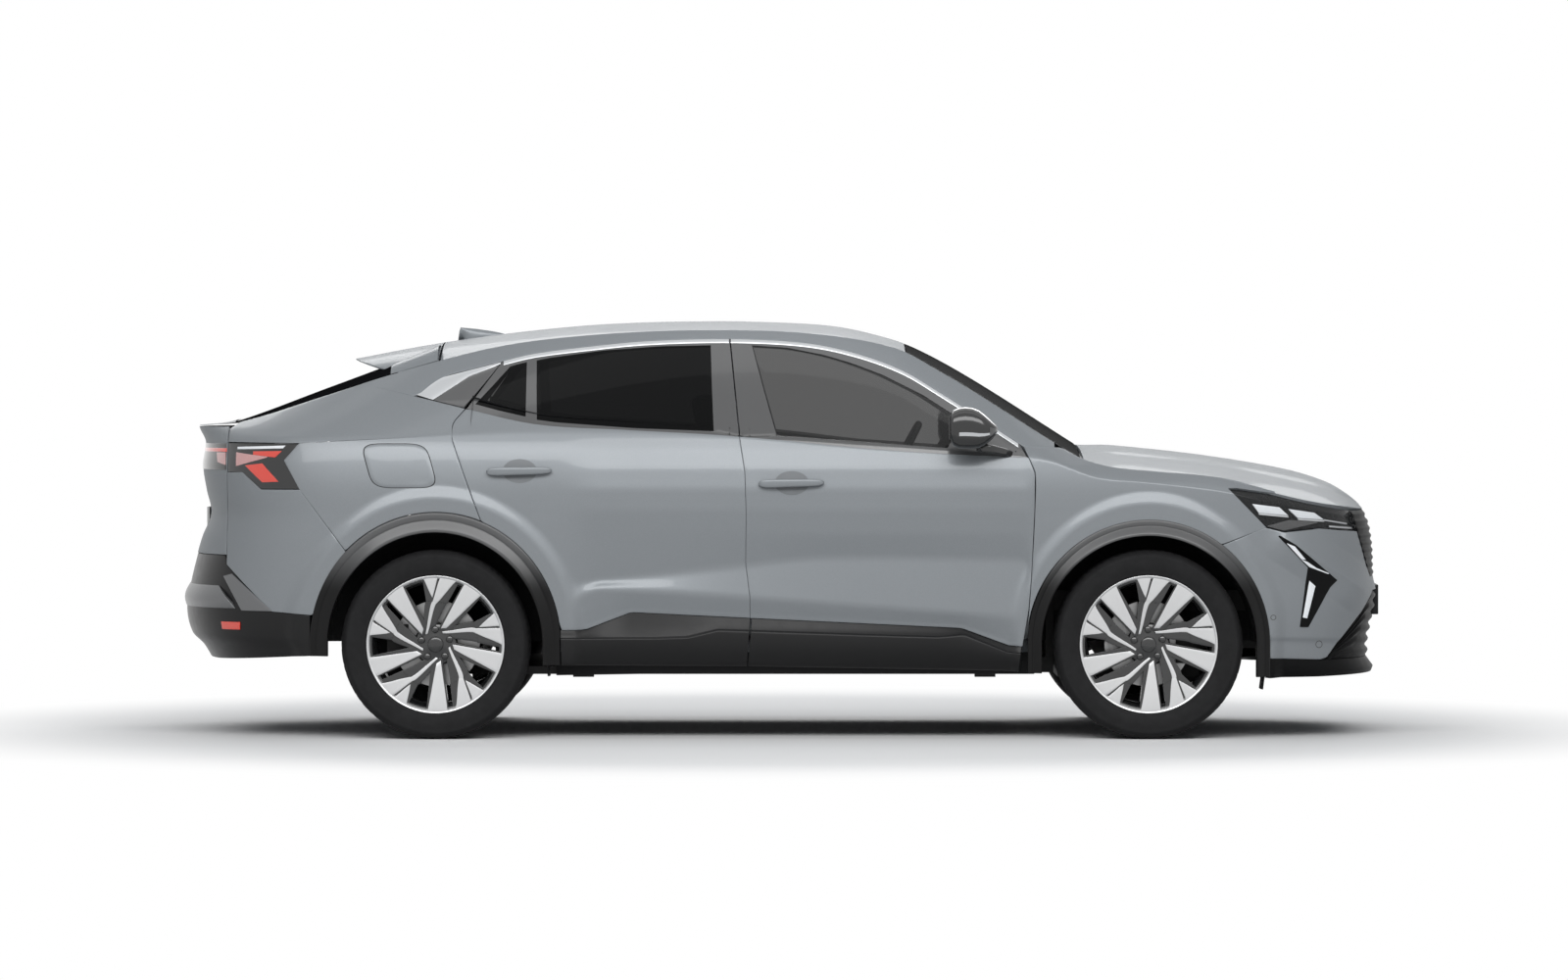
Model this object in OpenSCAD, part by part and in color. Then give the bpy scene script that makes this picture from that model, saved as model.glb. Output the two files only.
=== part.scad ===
// Coupe sport utility vehicle: a five-door body on a four-wheel chassis.
// Frame: +X forward, +Y to the left, +Z up, origin on the ground under the middle of the length.
// All sizes are in millimetres.

/* [Overall] */
// Length from the front plate to the rear bumper
body_length = 4710; // [4600:5:4820]
// Width across the body, without the mirrors
body_width = 1866; // [1820:2:1910]
// Height of the roof above the ground
roof_height = 1613; // [1580:1:1650]
// Distance between the axles
wheelbase = 2738; // [2690:1:2790]
// Front axle to the front end
front_overhang = 955; // [930:1:980]
// Underside of the doors above the ground
sill_height = 284; // [260:1:310]

/* [Wheels] */
// Outside diameter of the tyre
tyre_diameter = 728; // [700:1:740]
// Width of the tyre
tyre_width = 245; // [225:1:255]
// Diameter of the rim at the bead seat
rim_diameter = 508; // [482:1:520]
// Distance between the left and right wheel centres
track = 1600; // [1580:1:1610]
// Diameter of the brake disc
disc_diameter = 330; // [280:1:350]
// Thickness of the brake disc
disc_thickness = 28; // [20:1:32]
// Diameter of the hub's stub shaft
stub_diameter = 44; // [36:1:52]
// Steering pivot inboard of the wheel's centre plane
pivot_offset = 70; // [66:1:74]
// Diameter of the steering pivot pins
pivot_diameter = 26; // [20:1:30]

/* [Walls] */
// Thickness of a door below the window line
door_thickness = 110; // [90:1:125]
// Thickness of a door's window frame
frame_thickness = 45; // [35:1:55]
// Thickness of a door's outer flange
flange_thickness = 10; // [6:1:14]
// Thickness of the quarter panels, pillars and bumpers
wall_thickness = 60; // [45:1:70]
// Thickness of the roof
roof_thickness = 30; // [20:1:40]
// Thickness of the bonnet
bonnet_thickness = 32; // [24:1:40]
// Thickness of the tailgate
gate_thickness = 40; // [30:1:50]
// Thickness of the window glass
glass_thickness = 5; // [4:0.5:6]
// How far the plastic cladding stands out of the skin
cladding_proud = 8; // [4:1:12]

/* [Gaps] */
// Gap around a panel that opens
panel_gap = 6; // [5:0.5:8]
// Gap between pieces that are fixed together
seat_gap = 0.3; // [0.2:0.1:0.5]
// Radial clearance of a shaft in its bearing
bearing_clearance = 0.06; // [0.03:0.01:0.08]

/* [Hidden] */
$fn = 48;
half_w = body_width / 2;
nose_x = body_length / 2;
tail_x = -body_length / 2;
front_x = nose_x - front_overhang;
rear_x = front_x - wheelbase;
wheel_z = tyre_diameter / 2;
wheel_y = track / 2;
pivot_y = wheel_y - pivot_offset;
base_z = sill_height - 49;
plate_z = 505;

// Places along the body, from the axles and the ends
header_x = front_x - 930;
cowl_x = front_x - 262;
roof_end_x = rear_x + 4;
spoiler_tip_x = rear_x - 350;
corner_f = front_x + 100;
corner_r = rear_x - 200;
nose_power = 3.2;
tail_power = 3.0;

// Interpolation
function mix(a, b, t) = a + (b - a) * t;
function clamp01(t) = min(1, max(0, t));
function smooth(a, b, x) = let (t = clamp01((x - a) / (b - a))) t * t * (3 - 2 * t);
function seg(tab, x, i = 0) = (i >= len(tab) - 2 || x < tab[i + 1][0]) ? i : seg(tab, x, i + 1);
function slope(tab, i) =
    let (a = max(0, i - 1), b = min(len(tab) - 1, i + 1))
    (tab[b][1] - tab[a][1]) / (tab[b][0] - tab[a][0]);
// Smooth curve through a table of [x, value] pairs, straight beyond its ends
function curve(tab, x) =
    let (i = seg(tab, x), x0 = tab[i][0], h = tab[i + 1][0] - x0, t = (x - x0) / h,
         m0 = slope(tab, i) * h, m1 = slope(tab, i + 1) * h, a = tab[i][1], b = tab[i + 1][1])
    t <= 0 ? a + m0 * t : t >= 1 ? b + m1 * (t - 1) :
    a + m0 * t + (3 * (b - a) - 2 * m0 - m1) * t * t + (m0 + m1 - 2 * (b - a)) * t * t * t;

// Centre line of the roof, from the spoiler's tip over the windscreen to the cowl
roof_line = [
    [spoiler_tip_x, roof_height - 148], [rear_x - 20, roof_height - 86], [rear_x + 290, roof_height - 43],
    [rear_x + 640, roof_height - 11], [front_x - 1690, roof_height], [front_x - 1400, roof_height - 6],
    [front_x - 1200, roof_height - 20], [front_x - 1048, roof_height - 51], [front_x - 890, roof_height - 102],
    [front_x - 660, roof_height - 226], [front_x - 262, roof_height - 478]];
// Centre line of the rear window and the tail deck
rear_line = [
    [tail_x, roof_height - 414], [tail_x + 55, roof_height - 409], [tail_x + 215, roof_height - 389],
    [rear_x - 410, roof_height - 249], [rear_x, roof_height - 94]];
// Centre line of the bonnet, from the cowl to the nose
bonnet_line = [
    [front_x - 300, 1128], [front_x - 35, 1107], [front_x + 275, 1072], [front_x + 585, 1019],
    [nose_x - 213, 971], [nose_x - 135, 928], [nose_x - 80, 886]];
// Height of the rail where the side surface meets the roof, bonnet and tail
rail_line = [
    [tail_x, roof_height - 412], [tail_x + 115, roof_height - 409], [tail_x + 279, roof_height - 386],
    [rear_x - 446, roof_height - 295], [rear_x - 161, roof_height - 205], [rear_x + 238, roof_height - 102],
    [rear_x + 640, roof_height - 55], [front_x - 1700, roof_height - 40], [front_x - 1300, roof_height - 53],
    [front_x - 973, roof_height - 109], [front_x - 790, roof_height - 204], [front_x - 640, roof_height - 295],
    [front_x - 356, roof_height - 477], [front_x - 250, 1076], [front_x - 130, 1043], [front_x, 1030],
    [front_x + 280, 1004], [front_x + 490, 950], [front_x + 675, 910], [nose_x - 75, 882]];
// Window line: the height where the side turns in towards the glass
belt_line = [
    [tail_x, 1140], [rear_x - 160, 1160], [rear_x + 375, 1180], [rear_x + 1070, 1165], [front_x - 795, 1110],
    [front_x - 400, 1075], [front_x - 200, 1005], [front_x, 985], [front_x + 300, 950], [nose_x - 355, 890],
    [nose_x, 835]];
// Width of the rail as a share of the width at the window line
rail_share = [
    [tail_x, 0.93], [tail_x + 155, 0.80], [tail_x + 280, 0.745], [rear_x - 446, 0.69], [rear_x - 160, 0.66],
    [rear_x + 240, 0.655], [front_x - 1700, 0.668], [front_x - 973, 0.685], [front_x - 640, 0.775],
    [front_x - 490, 0.825], [front_x - 356, 0.875], [front_x - 200, 0.93], [front_x, 0.94], [nose_x, 0.955]];
// Nose and tail seen from the side, at the middle of the car: [height, distance inside the end]
nose_profile = [
    [base_z, 40], [345, 52], [440, 36], [531, 20], [624, 38], [720, 42], [811, 55], [880, 78], [1100, 78]];
tail_profile = [
    [base_z, 130], [344, 68], [391, 22], [484, 0], [578, 14], [671, 36], [764, 62], [858, 98], [951, 80],
    [1045, 66], [1138, 76], [1200, 48], [1300, 48]];
// Creases of the lower doors, and the top of their cladding
upper_crease = [[rear_x + 580, 596], [front_x - 1560, 666], [front_x - 1240, 697], [front_x - 450, 689]];
lower_crease = [[rear_x + 580, 590], [front_x - 1530, 544], [front_x - 640, 478], [front_x - 450, 462]];
cladding_line = [[rear_x + 480, 400], [rear_x + 755, 488], [front_x - 1530, 467], [front_x - 700, 430],
    [front_x - 490, 352]];

function belt_z(x) = curve(belt_line, x);
function rail_z(x) = curve(rail_line, x);
function door_share(x) = smooth(rear_x + 450, rear_x + 640, x) * (1 - smooth(front_x - 560, front_x - 420, x));
function crease_a(x) =
    mix(600, curve(upper_crease, max(upper_crease[0][0], min(upper_crease[3][0], x))), door_share(x));
function crease_b(x) =
    mix(490, curve(lower_crease, max(lower_crease[0][0], min(lower_crease[3][0], x))), door_share(x));
function cladding_top(x) = max(sill_height + 122, lookup(x, cladding_line));
// How far the side lies inside the full width, on the doors and on the wings
function door_inset(x, z) = lookup(z, [
    [base_z, 72], [sill_height, 28], [sill_height + 100, 10], [cladding_top(x), 30], [crease_b(x), 15],
    [crease_a(x), 33], [790, 16], [880, 8], [960, 10], [1040, 24], [1110, 44], [1165, 66], [1260, 112]]);
function wing_inset(z) = curve([
    [base_z, 70], [sill_height, 40], [400, 24], [560, 17], [700, 15], [850, 15], [960, 18], [1040, 28], [1110, 44],
    [1165, 66], [1260, 112]], z);
function flare(x, z, axle_x) =
    let (r = norm([x - axle_x, z - wheel_z])) 1 - smooth(540, 640, r);
function side_inset(x, z) =
    let (flat = mix(wing_inset(z), door_inset(x, z), door_share(x)),
         f = max(flare(x, z, front_x), flare(x, z, rear_x)))
    mix(flat, min(flat, 3), f);
// Half width of the body at a place along it and a height
function half_width(x, z) =
    let (b = belt_z(x), y = half_w - side_inset(x, min(z, b)),
         s = clamp01((z - b) / (rail_z(x) - b)))
    y * (1 - (1 - curve(rail_share, x)) * s * (0.75 + 0.25 * s));

// A station is [zone, value]: zone 1 is the nose and -1 the tail, by angle, and zone 0 the straight sides, by x
function plain_x(st) =
    st[0] == 0 ? st[1] :
    st[0] == 1 ? corner_f + (nose_x - 25 - corner_f) * pow(sin(st[1]), 2 / nose_power) :
    corner_r + (tail_x + 40 - corner_r) * pow(sin(st[1]), 2 / tail_power);
function skin(st, z, t) =
    let (x = plain_x(st), w = half_width(x, z) - t)
    st[0] == 0 ? [x, w, z] :
    st[0] == 1 ?
        [corner_f + (nose_x - curve(nose_profile, z) - t - corner_f) * pow(sin(st[1]), 2 / nose_power),
         w * pow(max(0, cos(st[1])), 2 / nose_power), z] :
        [corner_r + (tail_x + curve(tail_profile, z) + t - corner_r) * pow(sin(st[1]), 2 / tail_power),
         w * pow(max(0, cos(st[1])), 2 / tail_power), z];

function side_stations(n) = [for (i = [1 : n - 1]) [0, mix(corner_f, corner_r, i / n)]];
function end_stations(zone, n) = [for (i = [0 : n]) [zone, 90 * i / n]];
function flipped(v) = [for (i = [len(v) - 1 : -1 : 0]) v[i]];
function stations(n_end, n_side) =
    concat(flipped(end_stations(1, n_end)), side_stations(n_side), end_stations(-1, n_end));
function levels(x) =
    let (c = crease_a(x), b = belt_z(x), r = rail_z(x))
    concat([base_z, sill_height, sill_height + 55, sill_height + 100, cladding_top(x), crease_b(x), c],
        [for (k = [1 : 4]) mix(c, b, k / 4)], [for (k = [1 : 5]) mix(b, r, k / 5)]);
function coarse_levels(x) =
    let (c = crease_a(x), b = belt_z(x), r = rail_z(x))
    [base_z - 60, sill_height + 110, c, mix(c, b, 0.6), b, mix(b, r, 0.5), r, r + 300];

// Closed solid between two grids of points, each a list of rows; its two halves are mirror images
module slab(outer, inner) {
    m = len(outer);
    n = len(outer[0]);
    k = m * n;
    pts = concat([for (r = outer) each r], [for (r = inner) each r]);
    top = [for (i = [0 : m - 2]) for (j = [0 : n - 2])
        let (a = i * n + j, b = a + 1, c = b + n, d = a + n)
        each j < (n - 1) / 2 ? [[a, b, c], [a, c, d]] : [[a, b, d], [b, c, d]]];
    bottom = [for (f = top) [f[0] + k, f[2] + k, f[1] + k]];
    rim = concat([for (j = [0 : n - 1]) j], [for (i = [1 : m - 1]) i * n + n - 1],
        [for (j = [n - 2 : -1 : 0]) (m - 1) * n + j], [for (i = [m - 2 : -1 : 1]) i * n]);
    c = len(rim);
    wall = [for (i = [0 : c - 1]) let (a = rim[i], b = rim[(i + 1) % c])
        each [[a, a + k, b + k], [a, b + k, b]]];
    polyhedron(pts, concat(top, bottom, wall));
}

// A pressing is one shell of flat facets, at the size that it is drawn
module pressing() { resize([0, 0, 0]) children(); }
module on_side(s) { mirror([0, s > 0 ? 0 : 1, 0]) children(); }
module both_sides() { children(); mirror([0, 1, 0]) children(); }

// The body's outer form, taken in by t: left and right sides from the nose to the tail, closed above and below
module body_form(t, fine = true) {
    sts = fine ? stations(9, 24) : stations(5, 12);
    left = [for (st = sts) let (lv = fine ? levels(plain_x(st)) : coarse_levels(plain_x(st)))
        [for (z = lv) skin(st, z, t)]];
    m = len(left);
    n = len(left[0]);
    inner = [for (i = [1 : m - 2]) each left[i]];
    pts = concat([for (row = left) each row], [for (p = inner) [p[0], -p[1], p[2]]]);
    function l(i, j) = i * n + j;
    function r(i, j) = (i == 0 || i == m - 1) ? i * n + j : (m + i - 1) * n + j;
    polyhedron(pts, concat(
        [for (i = [0 : m - 2]) for (j = [0 : n - 2])
            each [[l(i, j), l(i, j + 1), l(i + 1, j + 1)], [l(i, j), l(i + 1, j + 1), l(i + 1, j)],
                  [r(i, j), r(i + 1, j + 1), r(i, j + 1)], [r(i, j), r(i + 1, j), r(i + 1, j + 1)]]],
        [for (i = [1 : m - 3]) each [[l(i, n - 1), r(i, n - 1), r(i + 1, n - 1)],
            [l(i, n - 1), r(i + 1, n - 1), l(i + 1, n - 1)],
            [l(i, 0), r(i + 1, 0), r(i, 0)], [l(i, 0), l(i + 1, 0), r(i + 1, 0)]]],
        [[l(0, n - 1), r(1, n - 1), l(1, n - 1)], [l(0, 0), l(1, 0), r(1, 0)],
         [l(m - 2, n - 1), r(m - 2, n - 1), l(m - 1, n - 1)], [l(m - 2, 0), l(m - 1, 0), r(m - 2, 0)]]));
}
module side_view(y0) {
    rotate([90, 0, 0]) translate([0, 0, -half_w - 100]) linear_extrude(half_w + 100 - y0) children();
}
// A wall of the body between two depths below the skin, inside an outline drawn in side view
module wall(t0, t1, y0) {
    difference() {
        intersection() {
            body_form(t0);
            side_view(y0) children();
        }
        body_form(t1, false);
    }
}
// A wall that thins to a flange in a band along its outline
module flanged_wall(t, band) {
    difference() {
        side_wall(0, t) children();
        intersection() {
            body_form(flange_thickness, false);
            side_view(0) difference() {
                offset(delta = 20) children();
                offset(delta = -band) children();
            }
        }
    }
}
module side_wall(t0, t1) { wall(t0, t1, 60) children(); }
module nose_wall(t0, t1) { wall(t0, t1, -half_w - 100) children(); }
// Roof, bonnet and glass: a crowned slab between two depths, from rail to rail
function crown_z(line, st, y, power) =
    let (r = skin(st, rail_z(plain_x(st)), 0), c = max(curve(line, r[0]), r[2]))
    c - (c - r[2]) * pow(min(1, abs(y) / max(1, r[1])), power);
module crown(line, sts, d0, d1, inset, power = 2.3, n = 8) {
    shares = [for (j = [n : -1 : -n]) let (t = j / n) sign(t) * (1 - pow(1 - abs(t), 1.25))];
    function row(st, d) =
        let (r = skin(st, rail_z(plain_x(st)), 0), w = max(2, r[1] - max(2, inset)), ys = [for (s = shares) s * w],
             e = r[1] - inset)
        [for (y = inset < 2 ? concat([e], ys, [-e]) : ys) [r[0], y, crown_z(line, st, y, power) - d]];
    slab([for (st = sts) row(st, d0)], [for (st = sts) row(st, d1)]);
}
function run(x0, x1, n) = [for (i = [0 : n]) [0, mix(x0, x1, i / n)]];
roof_stations = run(header_x, roof_end_x, 11);
bonnet_stations = concat([for (i = [10 : -1 : 0]) [1, 87 * i / 10]], run(corner_f - 70, cowl_x + 14, 4));
gate_stations = concat(run(roof_end_x - panel_gap, corner_r + 30, 3), [for (i = [0 : 9]) [-1, 87 * i / 9]]);

// Outlines in side view: x along the car, z up

front_line = [[sill_height - 60, -503], [362, -485], [501, -461], [672, -449], [881, -438], [1018, -436],
    [1055, -449], [1122, -479]];
middle_line = [[sill_height - 60, -1540], [373, -1515], [415, -1509], [467, -1530], [547, -1531], [674, -1547],
    [864, -1545], [1024, -1550], [1155, -1570], [1540, -1610]];
rear_edge = [[842, 174], [1034, 103], [1150, 64], [1171, 61], [1213, 67], [1329, 150], [1449, 245]];
window_top = [
    [rear_x - 70, 1322], [rear_x - 28, 1360], [rear_x + 29, 1394], [rear_x + 124, 1420], [rear_x + 245, 1451],
    [rear_x + 371, 1481], [rear_x + 580, 1508], [rear_x + 808, 1530], [front_x - 1607, 1538],
    [front_x - 1322, 1523], [front_x - 1132, 1485], [front_x - 942, 1416], [front_x - 790, 1325],
    [front_x - 695, 1264], [front_x - 479, 1122]];
function front_edge_x(z) = front_x + lookup(z, front_line);
function middle_x(z) = front_x + lookup(z, middle_line);
function rear_edge_x(z) = rear_x + lookup(z, rear_edge);
function arc(cx, cz, rx, rz, a0, a1, n) =
    [for (i = [0 : n]) let (a = mix(a0, a1, i / n)) [cx + rx * cos(a), cz + rz * sin(a)]];

// Wheel arches: half axes of the opening and of the cladding's outer edge
front_arch = [tyre_diameter / 2 + 48, tyre_diameter / 2 + 54];
front_clad = [tyre_diameter / 2 + 102, tyre_diameter / 2 + 116];
rear_arch = [tyre_diameter / 2 + 48, tyre_diameter / 2 + 67];
rear_clad = [tyre_diameter / 2 + 118, tyre_diameter / 2 + 143];

module arch_shape(axle_x, r) {
    polygon(concat(arc(axle_x, wheel_z, r[0], r[1], 0, 180, 28), [[axle_x - r[0], 0], [axle_x + r[0], 0]]));
}
module front_door_outline() {
    polygon(concat(
        [for (p = front_line) [front_edge_x(max(sill_height, p[0])), max(sill_height, p[0])]],
        [for (i = [13 : -1 : 9]) window_top[i]],
        [for (i = [len(middle_line) - 1 : -1 : 0])
            let (z = max(sill_height, min(1538, middle_line[i][0]))) [middle_x(z), z]]));
}
module rear_door_outline() {
    difference() {
        polygon(concat(
            [for (p = middle_line) let (z = max(sill_height, min(1538, p[0]))) [middle_x(z), z]],
            [for (i = [7 : -1 : 4]) window_top[i]],
            [for (i = [len(rear_edge) - 2 : -1 : 0]) [rear_edge_x(rear_edge[i][0]), rear_edge[i][0]]],
            [[rear_x + 100, 600], [rear_x + 300, sill_height]]));
        arch_shape(rear_x, rear_clad);
    }
}
front_window = [
    [front_x - 1527, 1513], [front_x - 1383, 1503], [front_x - 1242, 1475], [front_x - 1136, 1443],
    [front_x - 1018, 1398], [front_x - 866, 1322], [front_x - 720, 1226], [front_x - 790, 1128],
    [front_x - 1430, 1166]];
rear_window = [
    [rear_x + 380, 1453], [rear_x + 428, 1463], [rear_x + 641, 1493], [rear_x + 854, 1509], [rear_x + 1052, 1513],
    [rear_x + 1068, 1184], [rear_x + 760, 1196], [rear_x + 465, 1218], [rear_x + 387, 1230]];
quarter_window = [
    [rear_x + 284, 1433], [rear_x + 342, 1447], [rear_x + 344, 1240], [rear_x + 150, 1290]];
module windows(outline, gap) { offset(r = 12, $fn = 12) offset(delta = -12 - gap) polygon(outline); }

// Lamps and bumper joints, in side view
headlamp = [
    [front_x + 305, 958], [front_x + 560, 1000], [nose_x, 1000], [nose_x, 780], [nose_x - 110, 778],
    [front_x + 650, 790], [front_x + 460, 815]];
running_lamp = [
    [front_x + 500, 782], [front_x + 560, 742], [front_x + 745, 620], [front_x + 619, 432], [front_x + 600, 432],
    [front_x + 638, 655]];
tail_lamp = [
    [tail_x + 206, 1138], [rear_x - 525, 1136], [rear_x - 583, 1070], [rear_x - 520, 961], [rear_x - 686, 960],
    [rear_x - 722, 1000], [tail_x + 206, 1024]];
gate_edge_x = tail_x + 203;
bumper_top = 702;
grille_top = 862;
grille_bottom = 610;
grille_x = nose_x - 78;
valance_front = [
    [front_x + 412, 240], [front_x + 412, 322], [front_x + 720, 330], [front_x + 790, 345], [nose_x - 60, 562],
    [nose_x + 10, 562], [nose_x + 10, 200], [front_x + 412, 200]];
valance_rear = [
    [rear_x - rear_clad[0] + 2, 318], [rear_x - rear_clad[0] + 2, 476], [rear_x - 642, 488], [tail_x + 240, 411],
    [tail_x + 60, 374], [tail_x - 10, 372], [tail_x - 10, 352], [tail_x + 60, 350]];
fuel_flap_outline = [
    [rear_x - 244, 1135], [rear_x - 28, 1130], [rear_x + 8, 990], [rear_x - 14, 965], [rear_x - 230, 962],
    [rear_x - 268, 1035]];

module outline(points, gap = 0) { offset(delta = -gap) polygon(points); }
module fender_outline() {
    difference() {
        polygon(concat(
            [for (p = front_line) if (p[0] > 400 && p[0] < 1100) [front_edge_x(p[0]) + panel_gap / 2, p[0]]],
            [[front_x - 474, 1119.7], [front_x - 270, 1119.7], [front_x - 270, 1300], [front_x + 560, 1300],
             [front_x + 560, 1000 + seat_gap], [front_x + 305 - seat_gap, 958], [front_x + 460, 815],
             [front_x + 308, 753], [front_x + 250, 700], [front_x - 440, 420]]));
        arch_shape(front_x, front_clad);
    }
}
module front_bumper_outline() {
    difference() {
        polygon([[front_x + 308 + seat_gap, 753 - seat_gap], [front_x + 460, 815 - seat_gap],
            [front_x + 650, 790 - seat_gap], [nose_x - 110, 778 - seat_gap], [nose_x + 10, 780 - seat_gap],
            [nose_x + 10, 200], [front_x + 300, 200], [front_x + 300, 700]]);
        offset(delta = 0.2) arch_shape(front_x, front_clad);
        offset(delta = seat_gap) polygon(valance_front);
        offset(delta = seat_gap) polygon(running_lamp);
        translate([grille_x, grille_bottom]) square([400, grille_top - grille_bottom]);
    }
}
module rear_bumper_outline() {
    difference() {
        polygon([[rear_x - 362, 738], [rear_x - 520 - seat_gap, 960 - seat_gap], [rear_x - 686, 960 - seat_gap],
            [rear_x - 722, 1000 - seat_gap], [gate_edge_x + seat_gap, 1024 - seat_gap],
            [gate_edge_x + seat_gap, bumper_top - panel_gap], [tail_x - 10, bumper_top - panel_gap],
            [tail_x - 10, 373], [tail_x + 60, 375], [tail_x + 240, 412], [rear_x - 642, 489], [rear_x - 362, 470]]);
        arch_shape(rear_x, rear_clad);
        offset(delta = seat_gap) polygon(valance_rear);
    }
}
module quarter_outline() {
    difference() {
        union() {
            polygon(concat(
                [for (p = rear_edge) [rear_edge_x(p[0]) - panel_gap / 2, p[0]]],
                [[rear_x + 245, 1700], [gate_edge_x + seat_gap, 1700], [gate_edge_x + seat_gap, 1138 + seat_gap],
                 [rear_x - 525, 1136 + seat_gap], [rear_x - 583 + seat_gap, 1070],
                 [rear_x - 520 + seat_gap, 961], [rear_x - 362 + seat_gap, 738 + seat_gap],
                 [rear_x - 200, 600], [rear_x + 100, 600]]));
            polygon(concat(
                [for (i = [4 : 14]) window_top[i] + [0, panel_gap / 2]],
                [[front_x - 479, 1120], [front_x - 275, 1120], [front_x - 275, 1700], [rear_x + 200, 1700]]));
        }
        arch_shape(rear_x, rear_clad);
    }
}

// Space that the roof, glass, bonnet and tailgate take out of the panels around them
module roof_space() {
    crown(roof_line, run(header_x + 0.01, roof_end_x - 0.01, 11), -60, roof_thickness + seat_gap, -60);
    crown(roof_line, concat([[0, cowl_x + 60]], run(cowl_x, header_x + seat_gap, 7), [[0, header_x]]),
        -60, glass_thickness + seat_gap, -60);
}
module bonnet_space() {
    crown(bonnet_line, concat([for (i = [10 : -1 : 0]) [1, 87 * i / 10]], run(corner_f - 70, cowl_x, 4)),
        -80, bonnet_thickness + panel_gap, -60);
}
module gate_space() {
    crown(rear_line, concat(run(roof_end_x + 0.02, corner_r + 30, 3), [for (i = [0 : 9]) [-1, 90 * i / 9]]),
        -120, gate_thickness + panel_gap, -60);
}

// Doors

front_hinge = [front_x - 436, half_w - 2];
rear_hinge = [front_x - 1506, half_w - 2];
frame_step = 14;
door_step = 26;
frame_z = 1095;

module door_body(window) {
    difference() {
        flanged_wall(door_thickness, frame_step) offset(delta = -panel_gap / 2) children();
        intersection() {
            body_form(flange_thickness, false);
            side_view(0) difference() {
                translate([-nose_x, 0]) square([body_length, frame_z]);
                offset(delta = -panel_gap / 2 - door_step) children();
            }
        }
        intersection() {
            body_form(frame_thickness, false);
            translate([-nose_x, 0, frame_z]) cube([body_length, half_w + 10, 1000]);
        }
        side_view(0) for (w = window) windows(w, 0);
        cladding_cut();
    }
}
// The cladding takes the outer skin's place along the bottom of the doors
cladding_depth = 6;
cladding_inner = 22;
module cladding_zone(gap) {
    polygon(concat([for (p = cladding_line) [p[0], p[1] + 4 + gap]],
        [[front_x - 400, 300], [front_x - 400, 150], [rear_x + 420, 150], [rear_x + 420, 400]]));
}
module cladding_cut() {
    side_wall(-40, cladding_depth + seat_gap) cladding_zone(seat_gap);
}
module handle_bar(x, z) {
    y = half_width(x, z);
    hull() for (dx = [-120, 120]) translate([x + dx, y - 6, z + 0.02 * dx]) {
        rotate([-90, 0, 0]) cylinder(r = 18, h = 10, $fn = 24);
        rotate([-90, 0, 0]) cylinder(r = 12, h = 26, $fn = 24);
    }
}
front_handle = [front_x - 1368, 981];
rear_handle = [rear_x + 320, 1030];

module front_door(s) {
    color("slategray") pressing() on_side(s) {
        door_body([front_window]) front_door_outline();
        handle_bar(front_handle[0], front_handle[1]);
    }
}
module rear_door(s) {
    color("slategray") pressing() on_side(s) {
        door_body([rear_window, quarter_window]) rear_door_outline();
        handle_bar(rear_handle[0], rear_handle[1]);
    }
}
module door_glass(s, panes) {
    color([0.1, 0.1, 0.12]) pressing() on_side(s)
        side_wall(4, 4 + glass_thickness) for (w = panes) windows(w, seat_gap);
}
module front_door_cladding(s) {
    color([0.06, 0.06, 0.06]) pressing() on_side(s)
        side_wall(-cladding_proud, cladding_depth) intersection() {
            offset(delta = -panel_gap / 2) front_door_outline();
            cladding_zone(0);
        }
}
module rear_door_cladding(s) {
    color([0.06, 0.06, 0.06]) pressing() on_side(s)
        side_wall(-cladding_proud, cladding_depth) intersection() {
            offset(delta = -panel_gap / 2) rear_door_outline();
            cladding_zone(0);
        }
}
module mirror_housing(s) {
    x = front_x - 675;
    color([0.05, 0.05, 0.05]) on_side(s) union() {
        hull() {
            translate([x + 40, half_w + 20, 1150]) sphere(d = 60, $fn = 24);
            translate([x + 60, half_w + 95, 1185]) sphere(d = 50, $fn = 24);
            translate([x - 55, half_w + 20, 1150]) sphere(d = 60, $fn = 24);
            translate([x - 55, half_w + 110, 1160]) sphere(d = 60, $fn = 24);
            translate([x - 40, half_w + 30, 1240]) sphere(d = 60, $fn = 24);
            translate([x - 35, half_w + 105, 1245]) sphere(d = 50, $fn = 24);
        }
        hull() {
            translate([x, half_w + 25, 1130]) cube([70, 20, 20]);
            translate([x + 100, half_width(x + 100, 1080) + seat_gap + 8, 1080]) cube([85, 6, 34]);
        }
    }
}

// Fixed body

// Inner face of the sills and posts
post_y = half_w - 288;
module sill_beam() {
    translate([rear_x + rear_clad[0] - 35, post_y, base_z + 5])
        cube([front_x - 430 - rear_x - rear_clad[0] + 35, 130, 160]);
}
module side_posts() {
    hull() {
        translate([front_x - 1590, post_y - 5, base_z + 100]) cube([110, 120, 10]);
        translate([front_x - 1605, post_y - 25, 1040]) cube([90, 120, 10]);
    }
    hull() {
        translate([front_x - 1605, post_y - 25, 1040]) cube([90, 120, 10]);
        translate([front_x - 1650, post_y - 145, 1490]) cube([80, 55, 10]);
    }
    hull() {
        translate([front_x - 525, post_y, base_z + 100]) cube([90, 120, 10]);
        translate([front_x - 500, post_y + 5, 1000]) cube([80, 120, 10]);
    }
    hull() {
        translate([front_x - 500, post_y + 5, 1000]) cube([80, 120, 10]);
        translate([front_x - 430, post_y + 75, 1135]) cube([70, 70, 10]);
    }
}
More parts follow.
